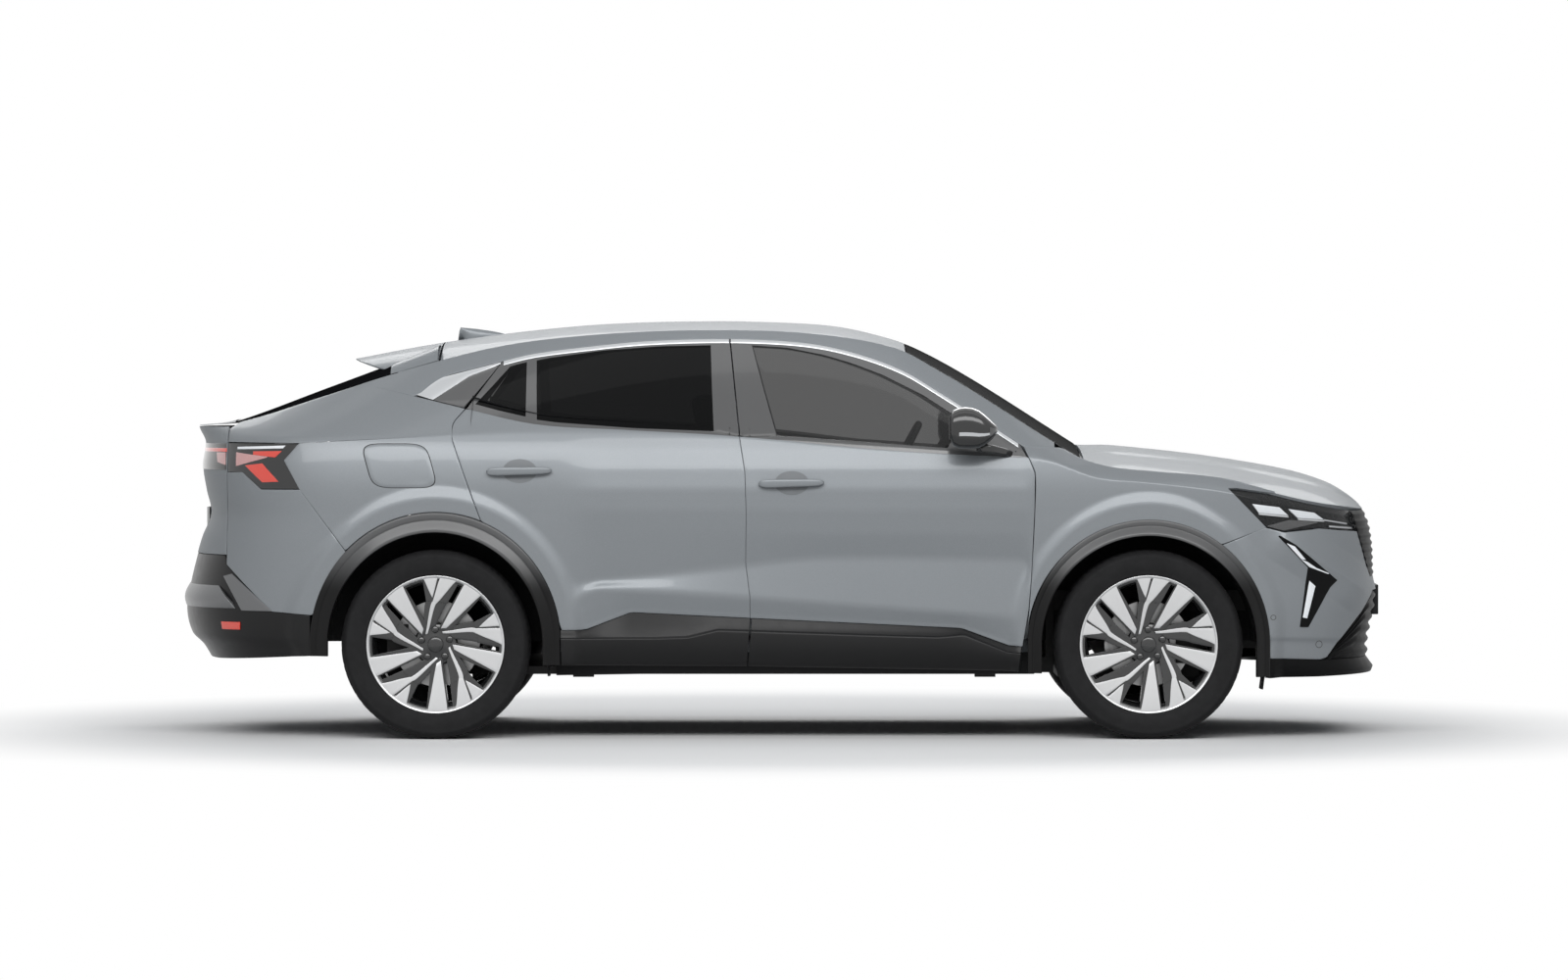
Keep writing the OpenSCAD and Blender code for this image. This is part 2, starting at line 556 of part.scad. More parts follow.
module rear_wheelhouse() {
    r = rear_arch[1] + 6;
    depth = half_w - 48 - post_y;
    translate([rear_x, post_y, wheel_z]) rotate([-90, 0, 0]) difference() {
        union() {
            cylinder(r = r + 28, h = depth, $fn = 64);
            intersection() {
                translate([0, 0, depth - 80]) cylinder(r = r + 108, h = 80, $fn = 64);
                translate([-320, -1000, 0]) cube([420, 700, 400]);
            }
        }
        translate([0, 0, -1]) cylinder(r = r, h = depth + 2, $fn = 64);
        translate([-1000, 20, -1]) cube([2000, 1000, 400]);
    }
}
module body_side(s) {
    color("slategray") pressing() on_side(s) difference() {
        union() {
            flanged_wall(wall_thickness, frame_step) quarter_outline();
            sill_beam();
            side_posts();
            rear_wheelhouse();
        }
        roof_space();
        gate_space();
        side_wall(-20, cladding_inner + seat_gap) arch_shape(rear_x, rear_clad);
        side_wall(-20, wall_thickness + 40) offset(delta = seat_gap) polygon(tail_lamp);
        if (s < 0) side_wall(-20, 20) outline(fuel_flap_outline);
    }
}
module fenders() {
    color("slategray") pressing() both_sides() difference() {
        side_wall(0, 24) fender_outline();
        bonnet_space();
        roof_space();
    }
}
module roof_panel() {
    color("slategray") pressing() crown(roof_line, roof_stations, 0, roof_thickness, 2);
}
module windscreen() {
    color([0.15, 0.15, 0.17]) pressing()
        crown(roof_line, run(cowl_x, header_x + seat_gap, 7), 0, glass_thickness, 2);
}
module bonnet() {
    color("slategray") pressing()
        crown(bonnet_line, bonnet_stations, 0, bonnet_thickness, 2);
}
module front_bumper() {
    color("slategray") pressing() difference() {
        nose_wall(0, wall_thickness) front_bumper_outline();
        bonnet_space();
    }
}
module front_valance() {
    color([0.06, 0.06, 0.06]) pressing() {
        nose_wall(-4, wall_thickness) difference() {
            outline(valance_front);
            arch_shape(front_x, front_clad);
        }
        translate([nose_x - 57, -260, plate_z - 55]) cube([57, 520, 105]);
    }
}
module grille() {
    color([0.05, 0.05, 0.05]) pressing() difference() {
        nose_wall(8, wall_thickness) translate([grille_x + seat_gap, grille_bottom + seat_gap])
            square([400, grille_top - grille_bottom - 2 * seat_gap]);
        bonnet_space();
    }
}
module headlamps() {
    color([0.75, 0.78, 0.8]) pressing() both_sides() difference() {
        union() {
            side_wall(1, 80) difference() {
                outline(headlamp);
                translate([grille_x, grille_bottom]) square([400, 1000]);
            }
            side_wall(1, 50) outline(running_lamp);
        }
        bonnet_space();
    }
}
module rear_bumper() {
    color("slategray") pressing() difference() {
        nose_wall(0, wall_thickness) rear_bumper_outline();
        gate_space();
    }
}
module rear_valance() {
    color([0.06, 0.06, 0.06]) pressing()
        nose_wall(-4, wall_thickness) difference() {
            outline(valance_rear);
            arch_shape(rear_x, rear_clad);
        }
}
module tail_lamps() {
    color([0.7, 0.08, 0.06]) pressing() both_sides() difference() {
        side_wall(0, wall_thickness) outline(tail_lamp);
        gate_space();
    }
}
module arch_cladding() {
    color([0.06, 0.06, 0.06]) pressing() both_sides() {
        side_wall(-cladding_proud, cladding_inner) intersection() {
            difference() {
                offset(delta = -seat_gap) arch_shape(front_x, front_clad);
                arch_shape(front_x, front_arch);
            }
            translate([front_x - 1000, sill_height - 34]) square([2000, 1000]);
        }
        side_wall(-cladding_proud, cladding_inner) intersection() {
            difference() {
                offset(delta = -seat_gap) arch_shape(rear_x, rear_clad);
                arch_shape(rear_x, rear_arch);
            }
            translate([rear_x - 1000, sill_height]) square([2000, 1000]);
        }
    }
}
// Inner edge of the front wheel liners
liner_y = half_w - 433;
module wheel_liners() {
    r = front_arch[1] + 4;
    depth = half_w - 53 - liner_y;
    color([0.04, 0.04, 0.04]) both_sides()
        translate([front_x, liner_y, wheel_z]) rotate([-90, 0, 0]) difference() {
            cylinder(r = r + 4, h = depth);
            translate([0, 0, -1]) cylinder(r = r, h = depth + 2);
            translate([-1000, 0, -1]) cube([2000, 1000, 400]);
        }
}
module fuel_flap() {
    color("slategray") pressing() on_side(-1)
        side_wall(0, 10) offset(r = 18, $fn = 24) offset(delta = -18 - panel_gap / 2) polygon(fuel_flap_outline);
}

// Tailgate: spoiler, window frame, deck and the tail's outer face

spoiler_thickness = 30;
glass_plan = [[rear_x - 190, 470], [rear_x - 640, 525], [tail_x + 222, 535]];
module gate_glass_plan(gap) {
    offset(r = 30, $fn = 24) offset(delta = -30 - gap)
        polygon(concat(glass_plan, [for (i = [2 : -1 : 0]) [glass_plan[i][0], -glass_plan[i][1]]]));
}
module tailgate() {
    color("slategray") pressing() difference() {
        union() {
            crown(rear_line, gate_stations, 0, gate_thickness, 2, n = 6);
            crown(roof_line, run(roof_end_x - panel_gap, spoiler_tip_x, 4), 0, spoiler_thickness, 2, 4, 6);
            nose_wall(0, gate_thickness) translate([tail_x - 50, bumper_top])
                square([gate_edge_x - panel_gap - tail_x + 50, 600]);
        }
        translate([0, 0, 1000]) linear_extrude(600) gate_glass_plan(0);
    }
}
module tailgate_glass() {
    color([0.1, 0.1, 0.12]) pressing() intersection() {
        crown(rear_line, gate_stations, 3, 3 + glass_thickness, 2, n = 6);
        translate([0, 0, 1000]) linear_extrude(600) gate_glass_plan(seat_gap);
    }
}

// Underbody and running gear

floor_z = base_z + 35;
module floor_pan() {
    color([0.2, 0.2, 0.21]) union() {
        translate([rear_x + 90, seat_gap - post_y, base_z + 5])
            cube([front_x - 430 - rear_x - 90, 2 * (post_y - seat_gap), 30]);
        translate([rear_x + 90, -540, base_z + 5]) cube([30, 1080, 380]);
        translate([tail_x + 260, -540, base_z + 355]) cube([rear_x + 120 - tail_x - 260, 1080, 30]);
        translate([front_x - 380, 10 - liner_y, base_z + 5]) cube([30, 2 * liner_y - 20, 800]);
        translate([front_x - 380, 5 - post_y, 1000]) cube([105, 2 * post_y - 10, 80]);
        translate([front_x - 435, 10 - liner_y, base_z + 5]) cube([80, 2 * liner_y - 20, 60]);
        for (x = [rear_x + 560, front_x - 620]) for (s = [-1, 1])
            translate([x - 40, s * 600 - 30, base_z - 7]) cube([80, 60, 14]);
    }
}
module engine() {
    color([0.35, 0.35, 0.36]) translate([front_x - 60, -370, 330]) cube([600, 740, 470]);
}
// Upright that carries a wheel's stub shaft, drawn with the shaft along +Z, outboard
module upright_core() {
    difference() {
        union() {
            translate([0, 0, -95]) cylinder(r = 46, h = 60);
            translate([-35, -120, -95]) cube([70, 240, 30]);
        }
        translate([0, 0, -96]) cylinder(d = stub_diameter + 2 * bearing_clearance, h = 62);
    }
}
// Caliper over the disc's edge, at an angle from the front
module caliper(angle) {
    r = disc_diameter / 2;
    rotate([0, 0, angle]) difference() {
        translate([r - 70, -75, -60]) cube([95, 150, 84]);
        translate([0, 0, -disc_thickness]) cylinder(r = r + 6, h = disc_thickness + 6);
        translate([r - 71, -76, -26]) cube([15, 152, 60]);
    }
}
module wheel_frame(x, s) {
    translate([x, s * wheel_y, wheel_z]) rotate([-s * 90, 0, 0]) children();
}
module front_upright(s) {
    color([0.3, 0.3, 0.31]) on_side(s) union() {
        wheel_frame(front_x, 1) {
            upright_core();
            caliper(0);
            translate([disc_diameter / 2 - 70, -40, -95]) cube([60, 80, 36]);
            translate([30, -40, -95]) cube([disc_diameter / 2 - 90, 80, 30]);
        }
        for (z = [-1, 1]) translate([front_x, pivot_y, wheel_z + z * 137])
            cylinder(d = pivot_diameter, h = 70, center = true);
    }
}
module front_subframe() {
    color([0.22, 0.22, 0.23]) union() {
        translate([front_x - 330, -420, base_z - 15]) cube([700, 840, 50]);
        for (s = [-1, 1]) {
            translate([front_x - 350 + seat_gap, s * 435 - 35, 480]) cube([985 - seat_gap, 70, 80]);
            translate([front_x - 60, s * 435 - 35, base_z - 15]) cube([120, 70, 340]);
            for (z = [-150, 150]) difference() {
                hull() {
                    translate([front_x, s * pivot_y, wheel_z + z - 14]) cylinder(r = 30, h = 28);
                    translate([front_x - 55, s * 435 - 20, wheel_z + z - 14]) cube([110, 40, 28]);
                }
                translate([front_x, s * pivot_y, wheel_z + z - 20])
                    cylinder(d = pivot_diameter + 2 * bearing_clearance, h = 40);
            }
        }
        translate([nose_x - 230, -480, 470]) cube([60, 960, 100]);
        for (s = [-1, 1]) translate([front_x + 600, s * 435 - 35, 480]) cube([nose_x - 230 - front_x - 590, 70, 80]);
    }
}
module rear_axle() {
    color([0.22, 0.22, 0.23]) union() {
        translate([rear_x, 0, wheel_z]) rotate([90, 0, 0]) difference() {
            cylinder(r = 38, h = 2 * wheel_y - 186, center = true);
            cylinder(d = stub_diameter + 20, h = 2 * wheel_y, center = true);
        }
        for (s = [-1, 1]) {
            wheel_frame(rear_x, s) {
                upright_core();
                caliper(180);
                translate([-disc_diameter / 2 + 10, -40, -95]) cube([60, 80, 36]);
                translate([-disc_diameter / 2 + 60, -40, -95]) cube([disc_diameter / 2 - 90, 80, 30]);
            }
            translate([rear_x - 30, s * 480 - 40, wheel_z + 20]) cube([60, 80, base_z + 354.7 - wheel_z - 20]);
        }
    }
}
// Wheel parts, drawn about +Z with the outer side up
module tyre_profile() {
    r = tyre_diameter / 2;
    b = rim_diameter / 2 + seat_gap;
    h = tyre_width / 2;
    bead = h - 20;
    polygon([[b, -bead], [b + 14, -bead], [b + 22, -h + 12], [b + 40, -h + 3], [mix(b, r, 0.55), -h],
        [r - 26, -h + 5], [r - 10, -h + 16], [r - 3, -h + 30], [r, -h + 50],
        [r, h - 50], [r - 3, h - 30], [r - 10, h - 16], [r - 26, h - 5], [mix(b, r, 0.55), h],
        [b + 40, h - 3], [b + 22, h - 12], [b + 14, bead], [b, bead], [b, bead - 16], [b + 12, bead - 26],
        [b + 12, -bead + 26], [b, -bead + 16]]);
}
module tyre(x, s) {
    color([0.05, 0.05, 0.05]) wheel_frame(x, s) rotate_extrude($fn = 96) tyre_profile();
}
hub_face = 42;
module spoke_plan() {
    r = rim_diameter / 2 - 6;
    for (i = [0 : 4]) rotate(72 * i) {
        polygon([[50, -8], [50, 8], [r * cos(8.4), r * sin(8.4)], [r * cos(8.4), -r * sin(8.4)]]);
        rotate(29.5) polygon([[54 * cos(-42), 54 * sin(-42)], [54 * cos(-20), 54 * sin(-20)],
            [150 * cos(4), 150 * sin(4)], [r * cos(15), r * sin(15)], [r * cos(-15), r * sin(-15)],
            [150 * cos(-12), 150 * sin(-12)]]);
    }
}
module rim(x, s) {
    b = rim_diameter / 2;
    h = tyre_width / 2;
    color([0.75, 0.76, 0.78]) wheel_frame(x, s) union() {
        rotate_extrude($fn = 96) polygon([[b - 14, -h + 14], [b + 12, -h + 14], [b + 12, -h + 19.7], [b, -h + 19.7],
            [b, h - 19.7], [b + 12, h - 19.7], [b + 12, h - 14], [b - 14, h - 14]]);
        translate([0, 0, hub_face]) cylinder(r = 78, h = 32);
        translate([0, 0, hub_face + 18]) linear_extrude(h - 22 - hub_face - 18) spoke_plan();
    }
}
module brake_disc(x, s) {
    color([0.55, 0.55, 0.56]) wheel_frame(x, s) union() {
        translate([0, 0, -disc_thickness + 3]) cylinder(d = disc_diameter, h = disc_thickness - 3);
        cylinder(r = 76, h = hub_face - seat_gap);
        translate([0, 0, -90]) cylinder(d = stub_diameter, h = 91);
    }
}

// Cabin

module dashboard() {
    color([0.12, 0.12, 0.13]) difference() {
        rotate([90, 0, 0]) linear_extrude(2 * post_y - 20, center = true)
            polygon([[front_x - 390, 640], [front_x - 390, 1070], [front_x - 560, 1085], [front_x - 720, 1040],
                [front_x - 740, 960], [front_x - 600, 820], [front_x - 560, 640]]);
        translate([steer_x, steer_y, steer_z]) rotate([0, 90 + wheel_tilt, 0])
            cylinder(d = column_diameter + 2 * bearing_clearance, h = 320);
    }
}
wheel_tilt = 28;
column_diameter = 44;
steer_x = front_x - 939;
steer_y = 370;
steer_z = 1051;
module steering_wheel() {
    color([0.06, 0.06, 0.06]) translate([steer_x, steer_y, steer_z]) rotate([0, 90 + wheel_tilt, 0]) union() {
        rotate_extrude() translate([170, 0]) circle(r = 15);
        for (a = [0, 90, 180]) rotate([0, 0, a + 90]) translate([0, -18, -8]) cube([165, 36, 14]);
        translate([0, 0, -15]) cylinder(r = 60, h = 30);
        cylinder(d = column_diameter, h = 290);
    }
}
module seat(width) {
    rotate([90, 0, 0]) linear_extrude(width, center = true) offset(r = 30, $fn = 24) offset(delta = -30)
        polygon([[0, 240], [0, 40], [420, 40], [470, 240], [520, 330], [480, 370], [60, 320], [-140, 860],
            [-180, 1070], [-270, 1060], [-250, 840], [-80, 260]]);
}
module seats() {
    place_y = post_y - 285;
    color([0.1, 0.1, 0.11]) {
        for (s = [-1, 1]) translate([front_x - 1500, s * place_y, floor_z + 7]) seat(2 * post_y - 2 * place_y - 80);
        translate([front_x - 2330, 0, floor_z + 7]) seat(2 * post_y - 50);
    }
}

// Assembly

floor_pan();
body_side(1);  // body_side_left
body_side(-1);  // body_side_right
roof_panel();
windscreen();
fenders();
wheel_liners();
arch_cladding();
front_bumper();
front_valance();
grille();
headlamps();
rear_bumper();
rear_valance();
tail_lamps();
engine();
front_subframe();
rear_axle();
dashboard();
seats();
steering_wheel();
bonnet();
tailgate();
tailgate_glass();
fuel_flap();
front_door(1);  // front_door_left
door_glass(1, [front_window]);  // front_glass_left
front_door_cladding(1);  // front_cladding_left
mirror_housing(1);  // mirror_left
front_door(-1);  // front_door_right
door_glass(-1, [front_window]);  // front_glass_right
front_door_cladding(-1);  // front_cladding_right
mirror_housing(-1);  // mirror_right
rear_door(1);  // rear_door_left
door_glass(1, [rear_window, quarter_window]);  // rear_glass_left
rear_door_cladding(1);  // rear_cladding_left
rear_door(-1);  // rear_door_right
door_glass(-1, [rear_window, quarter_window]);  // rear_glass_right
rear_door_cladding(-1);  // rear_cladding_right
front_upright(1);  // upright_left
front_upright(-1);  // upright_right
tyre(front_x, 1);  // tyre_front_left
rim(front_x, 1);  // rim_front_left
brake_disc(front_x, 1);  // disc_front_left
tyre(front_x, -1);  // tyre_front_right
rim(front_x, -1);  // rim_front_right
brake_disc(front_x, -1);  // disc_front_right
tyre(rear_x, 1);  // tyre_rear_left
rim(rear_x, 1);  // rim_rear_left
brake_disc(rear_x, 1);  // disc_rear_left
tyre(rear_x, -1);  // tyre_rear_right
rim(rear_x, -1);  // rim_rear_right
brake_disc(rear_x, -1);  // disc_rear_right
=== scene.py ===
import math

import bpy
import numpy as np
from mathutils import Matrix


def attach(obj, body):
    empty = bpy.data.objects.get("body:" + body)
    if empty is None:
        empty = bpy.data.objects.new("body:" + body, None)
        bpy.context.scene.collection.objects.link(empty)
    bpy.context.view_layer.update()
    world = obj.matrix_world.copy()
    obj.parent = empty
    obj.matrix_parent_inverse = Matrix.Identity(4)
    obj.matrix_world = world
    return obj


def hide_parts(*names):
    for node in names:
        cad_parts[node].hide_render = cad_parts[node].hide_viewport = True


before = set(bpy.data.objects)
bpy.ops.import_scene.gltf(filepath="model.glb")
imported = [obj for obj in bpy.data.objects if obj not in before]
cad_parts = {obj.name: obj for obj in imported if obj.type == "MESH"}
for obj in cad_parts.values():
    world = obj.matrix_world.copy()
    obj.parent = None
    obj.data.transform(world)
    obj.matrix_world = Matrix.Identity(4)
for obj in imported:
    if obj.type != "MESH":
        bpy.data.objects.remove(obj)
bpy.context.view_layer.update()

# Floor, subframe, rear axle, engine and uprights: welded steel and cast iron under a dark wax coat,
# bolted together below the cabin. They are shown as they were built, with a dull metal finish.


class Shade:
    """One socket of a material's nodes; the arithmetic signs on it lay Math nodes."""

    def __init__(self, tree, socket=None):
        self.tree, self.socket = tree, socket

    def node(self, kind, settings, sockets, out=0):
        """A new node of that kind: its settings first, then the values or links of its sockets."""
        made = self.tree.nodes.new(kind)
        for key, value in settings.items():
            setattr(made, key, value)
        for key, value in sockets.items():
            if isinstance(value, Shade):
                self.tree.links.new(value.socket, made.inputs[key])
            else:
                made.inputs[key].default_value = value
        return Shade(self.tree, made.outputs[out])

    def maths(self, operation, a, b):
        """A Math node on two sockets or numbers."""
        return self.node("ShaderNodeMath", {"operation": operation}, {0: a, 1: b})

    def __add__(self, other):
        return self.maths("ADD", self, other)

    __radd__ = __add__

    def __sub__(self, other):
        return self.maths("SUBTRACT", self, other)

    def __rsub__(self, other):
        return self.maths("SUBTRACT", other, self)

    def __mul__(self, other):
        return self.maths("MULTIPLY", self, other)

    __rmul__ = __mul__

    def __gt__(self, other):
        return self.maths("GREATER_THAN", self, other)


def finish(name, colour, rough, metal=0.0, constants=(), varying=None):
    """A material of one surface finish: its constants, and what a function of the place varies over it."""
    made = bpy.data.materials.new(name)
    made.use_nodes = True
    tree = made.node_tree
    surface = tree.nodes["Principled BSDF"]
    surface.inputs["Base Color"].default_value = (*colour, 1)
    surface.inputs["Roughness"].default_value = rough
    surface.inputs["Metallic"].default_value = metal
    for key, value in dict(constants).items():
        surface.inputs[key].default_value = value
    if varying:
        place = Shade(tree).node("ShaderNodeTexCoord", {}, {}, "Object")
        for key, value in varying(place).items():
            tree.links.new(value.socket, surface.inputs[key])
    return made


def noise(place, scale, detail=2.0):
    """Cloudy grey noise of that many bumps a metre."""
    return place.node("ShaderNodeTexNoise", {}, {"Vector": place, "Scale": scale, "Detail": detail})


def grain(place, scale):
    """Cells of leather grain, that many a metre."""
    return place.node("ShaderNodeTexVoronoi", {}, {"Vector": place, "Scale": scale}, "Distance")


def blend(mask, dark, pale):
    """The first colour where the mask is 0 and the second where it is 1."""
    return mask.node("ShaderNodeMix", {"data_type": "RGBA"}, {0: mask, 6: (*dark, 1), 7: (*pale, 1)}, 2)


def wander(low, spread, scale):
    """Roughness that wanders from low to low plus spread, with that many patches a metre."""
    return lambda place: {"Roughness": low + spread * noise(place, scale)}


def bump(height, strength, reach):
    """A normal bent by a height field; reach is its depth in metres."""
    return height.node("ShaderNodeBump", {},
                       {"Strength": strength, "Distance": reach, "Height": height}, "Normal")


def waxed_steel(place):
    """Stained dark wax over steel."""
    stain = noise(place, 9.0, 4.0)
    return {
        "Base Color": blend(stain, (0.018, 0.018, 0.02), (0.05, 0.049, 0.047)),
        "Roughness": 0.5 + 0.25 * stain,
        "Normal": bump(noise(place, 420.0), 0.25, 0.0006),
    }


under_metal = finish("waxed_steel", (0.03, 0.03, 0.03), 0.6, 0.5, varying=waxed_steel)


def dress(material, slot, *nodes):
    """A CAD node keeps its shape and takes a finish."""
    for name in nodes:
        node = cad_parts[name]
        node.data.materials.clear()
        node.data.materials.append(material)


dress(under_metal, "chassis_metal", "floor_pan", "front_subframe", "rear_axle", "engine", "upright_left",
      "upright_right")

# Body sides: one steel pressing a side, from the tail along the roof rail to the windscreen pillar,
# painted a mid grey metallic under clear coat, with the sill, posts and wheelhouse welded behind it.

NOSE, TAIL, FRONT, REAR, WHEEL_Z = 2355.0, -2355.0, 1400.0, -1338.0, 364.0
HALF_WIDTH, CORNER_F, CORNER_R, POWER_F, POWER_R = 933.0, 1500.0, -1538.0, 3.2, 3.0
PLAIN_F, PLAIN_R = NOSE - 25 - CORNER_F, CORNER_R - TAIL - 40  # the ends' usual lengths beyond their corners
SIDES = ((1, "left"), (-1, "right"))
rail_line = [
    (-2355, 1201), (-2240, 1204), (-2076, 1227), (-1784, 1318), (-1499, 1408), (-1100, 1511), (-698, 1558),
    (-300, 1573), (100, 1560), (427, 1504), (610, 1409), (760, 1318), (1044, 1136), (1150, 1076),
    (1270, 1043), (1400, 1030), (1680, 1004), (1890, 950), (2075, 910), (2280, 882)]
belt_line = [
    (-2355, 1140), (-1498, 1160), (-963, 1180), (-268, 1165), (605, 1110), (1000, 1075), (1200, 1005),
    (1400, 985), (1700, 950), (2000, 890), (2355, 835)]
rail_share = [
    (-2355, 0.93), (-2200, 0.80), (-2075, 0.745), (-1784, 0.69), (-1498, 0.66), (-1098, 0.655), (-300, 0.668),
    (427, 0.685), (760, 0.775), (910, 0.825), (1044, 0.875), (1200, 0.93), (1400, 0.94), (2355, 0.955)]
nose_profile = [
    (235, 40), (345, 52), (440, 36), (531, 20), (624, 38), (720, 42), (811, 55), (880, 78), (1100, 78)]
tail_profile = [
    (235, 130), (344, 68), (391, 22), (484, 0), (578, 14), (671, 36), (764, 62), (858, 98), (951, 80),
    (1045, 66), (1138, 76), (1200, 48), (1300, 48)]
upper_crease = [(-758, 596), (-160, 666), (160, 697), (950, 689)]
lower_crease = [(-758, 590), (-130, 544), (760, 478), (950, 462)]
cladding_line = [(-880, 421), (-762, 423), (-587, 490), (-121, 467), (681, 429), (862, 363), (955, 356)]
wing_table = [
    (235, 70), (284, 40), (400, 24), (560, 17), (700, 15), (850, 15), (960, 18), (1040, 28), (1110, 44),
    (1165, 66), (1260, 112)]


def curve(table, x):
    """Smooth curve through rows of (x, value): a cubic in each interval, with the slope at a row taken
    from its two neighbours, and straight beyond both ends."""
    rows = np.asarray(table, float)
    X, V = rows[:, 0], rows[:, 1]
    k = np.arange(len(X))
    low, high = np.maximum(k - 1, 0), np.minimum(k + 1, len(X) - 1)
    m = (V[high] - V[low]) / (X[high] - X[low])
    x = np.asarray(x, float)
    i = np.clip(np.searchsorted(X, x, side="right") - 1, 0, len(X) - 2)
    h = X[i + 1] - X[i]
    s = (x - X[i]) / h
    t = np.clip(s, 0, 1)
    rise, m0, m1 = V[i + 1] - V[i], m[i] * h, m[i + 1] * h
    inside = V[i] + m0 * t + (3 * rise - 2 * m0 - m1) * t**2 + (m0 + m1 - 2 * rise) * t**3
    return inside + m0 * np.minimum(s, 0) + m1 * np.maximum(s - 1, 0)


def straight(table, x):
    """Straight lines through rows of (x, value), level beyond both ends."""
    return np.interp(x, *np.array(table, float).T)


def smooth(a, b, x):
    """0 before a, 1 after b, and an S between them."""
    t = np.clip((np.asarray(x, float) - a) / (b - a), 0, 1)
    return t * t * (3 - 2 * t)


def door_share(x):
    """1 on the doors and 0 on the wings."""
    return smooth(-888, -698, x) * (1 - smooth(918, 972, x))


def side_inset(x, z):
    """How far the side lies inside the full width: a straight-sided profile on the doors, softened at its
    creases by a mean over a few heights, a smooth one on the wings, and a bulge around each wheel."""
    share = door_share(x)
    upper = 600 + (curve(upper_crease, np.clip(x, -758, 950)) - 600) * share
    lower = 490 + (curve(lower_crease, np.clip(x, -758, 950)) - 490) * share
    clad = straight(cladding_line, x)
    rows = [(235, 72), (284, 28), (np.minimum(384, clad - 40), 12), (clad, 30), (lower, 15), (upper, 33),
            (790, 16), (880, 8), (960, 10), (1040, 24), (1110, 44), (1165, 66), (1260, 112)]

    def door(h):
        out = np.full(np.broadcast(x, h).shape, 72.0)
        for (z0, v0), (z1, v1) in zip(rows[:-1], rows[1:]):
            t = np.clip((h - z0) / np.maximum(z1 - z0, 1), 0, 1)
            out = np.where(h >= z0, v0 + (v1 - v0) * t, out)
        return out

    soft = sum(door(z + d) for d in (-12, -6, 0, 6, 12)) / 5
    flat = curve(wing_table, z) * (1 - share) + soft * share
    front = np.hypot((x - FRONT) / 500, (z - WHEEL_Z) / 545)
    rear = np.hypot((x - REAR) / 535, (z - WHEEL_Z) / 565)
    flare = 1 - smooth(0.98, 1.09, np.minimum(front, rear))
    return flat + (np.minimum(flat, 3) - flat) * flare


def half_width(x, z):
    """Half width of the body: the side below the window line, then leaning in to the rail above it."""
    belt = curve(belt_line, x)
    s = np.clip((z - belt) / (curve(rail_line, x) - belt), 0, 1)
    lean = (1 - curve(rail_share, x)) * s * (0.75 + 0.25 * s)
    return (HALF_WIDTH - side_inset(x, np.minimum(z, belt))) * (1 - lean)


def end_reach(z, t=0.0):
    """Length of the nose and the tail beyond their corners at a height."""
    return NOSE - curve(nose_profile, z) - t - CORNER_F, CORNER_R - TAIL - curve(tail_profile, z) - t


def rounded(u, sign, corner, reach, power):
    """Whether u lies past a corner, and the shares of the end's length and of the half width that it has
    there: a quarter of a superellipse, by the angle that u is over that length."""
    angle = np.clip(sign * (u - corner) / reach, 0, math.pi / 2)
    sine, cosine = np.sin(angle), np.maximum(np.cos(angle), 0)
    scale = (sine**power + cosine**power) ** (-1 / power)
    return sign * (u - corner) > 0, sine * scale, cosine * scale


def skin(u, z, t=0.0):
    """Points of the outer skin, taken in by t. Along the sides u is x; past a corner u is an angle times the
    end's length, and the plan view is a quarter of a superellipse."""
    u, z = np.broadcast_arrays(np.asarray(u, float), np.asarray(z, float))
    ahead, behind = end_reach(z, t)
    x, w, plain = u.copy(), np.ones_like(u), u.copy()
    for sign, corner, reach, power, plain_reach in (
        (1, CORNER_F, ahead, POWER_F, PLAIN_F), (-1, CORNER_R, behind, POWER_R, PLAIN_R)):
        past, length, width = rounded(u, sign, corner, reach, power)
        x = np.where(past, corner + sign * reach * length, x)
        plain = np.where(past, corner + sign * plain_reach * length, plain)
        w = np.where(past, width, w)
    return np.stack([x, w * (half_width(plain, z) - t), z], -1)


def laid(g, t=0.0):
    """A grid of places (u, z) laid on the skin, taken in by t."""
    return skin(g[..., 0], g[..., 1], t)


def around(x, z):
    """The place u along the skin of a point seen from the side at x."""
    x, z = np.broadcast_arrays(np.asarray(x, float), np.asarray(z, float))
    ahead, behind = end_reach(z)
    u = x.copy()
    for sign, corner, reach, power in ((1, CORNER_F, ahead, POWER_F), (-1, CORNER_R, behind, POWER_R)):
        share = np.clip(sign * (x - corner) / reach, 0, 1)
        angle = np.arctan2(share, (1 - share**power) ** (1 / power))
        u = np.where(sign * (x - corner) > 0, corner + sign * reach * angle, u)
    return u


def spaced(points, n, bend=False):
    """n points at equal steps along a polyline, or along a smooth curve through its points."""
    p = np.asarray(points, float)
    way = np.concatenate([[0], np.cumsum(np.linalg.norm(np.diff(p, axis=0), axis=1))])
    if bend and len(p) > 2:
        fine = np.linspace(0, way[-1], 40 * len(p))
        p = np.stack([curve(np.stack([way, p[:, k]], 1), fine) for k in range(p.shape[1])], 1)
        way = np.concatenate([[0], np.cumsum(np.linalg.norm(np.diff(p, axis=0), axis=1))])
    at = np.linspace(0, way[-1], n)
    return np.stack([np.interp(at, way, p[:, k]) for k in range(p.shape[1])], 1)


def edge(points, n, bend=False):
    """An edge drawn from the side as (x, z) points, as n places (u, z) on the skin."""
    p = spaced(points, n, bend)
    return np.stack([around(p[:, 0], p[:, 1]), p[:, 1]], 1)


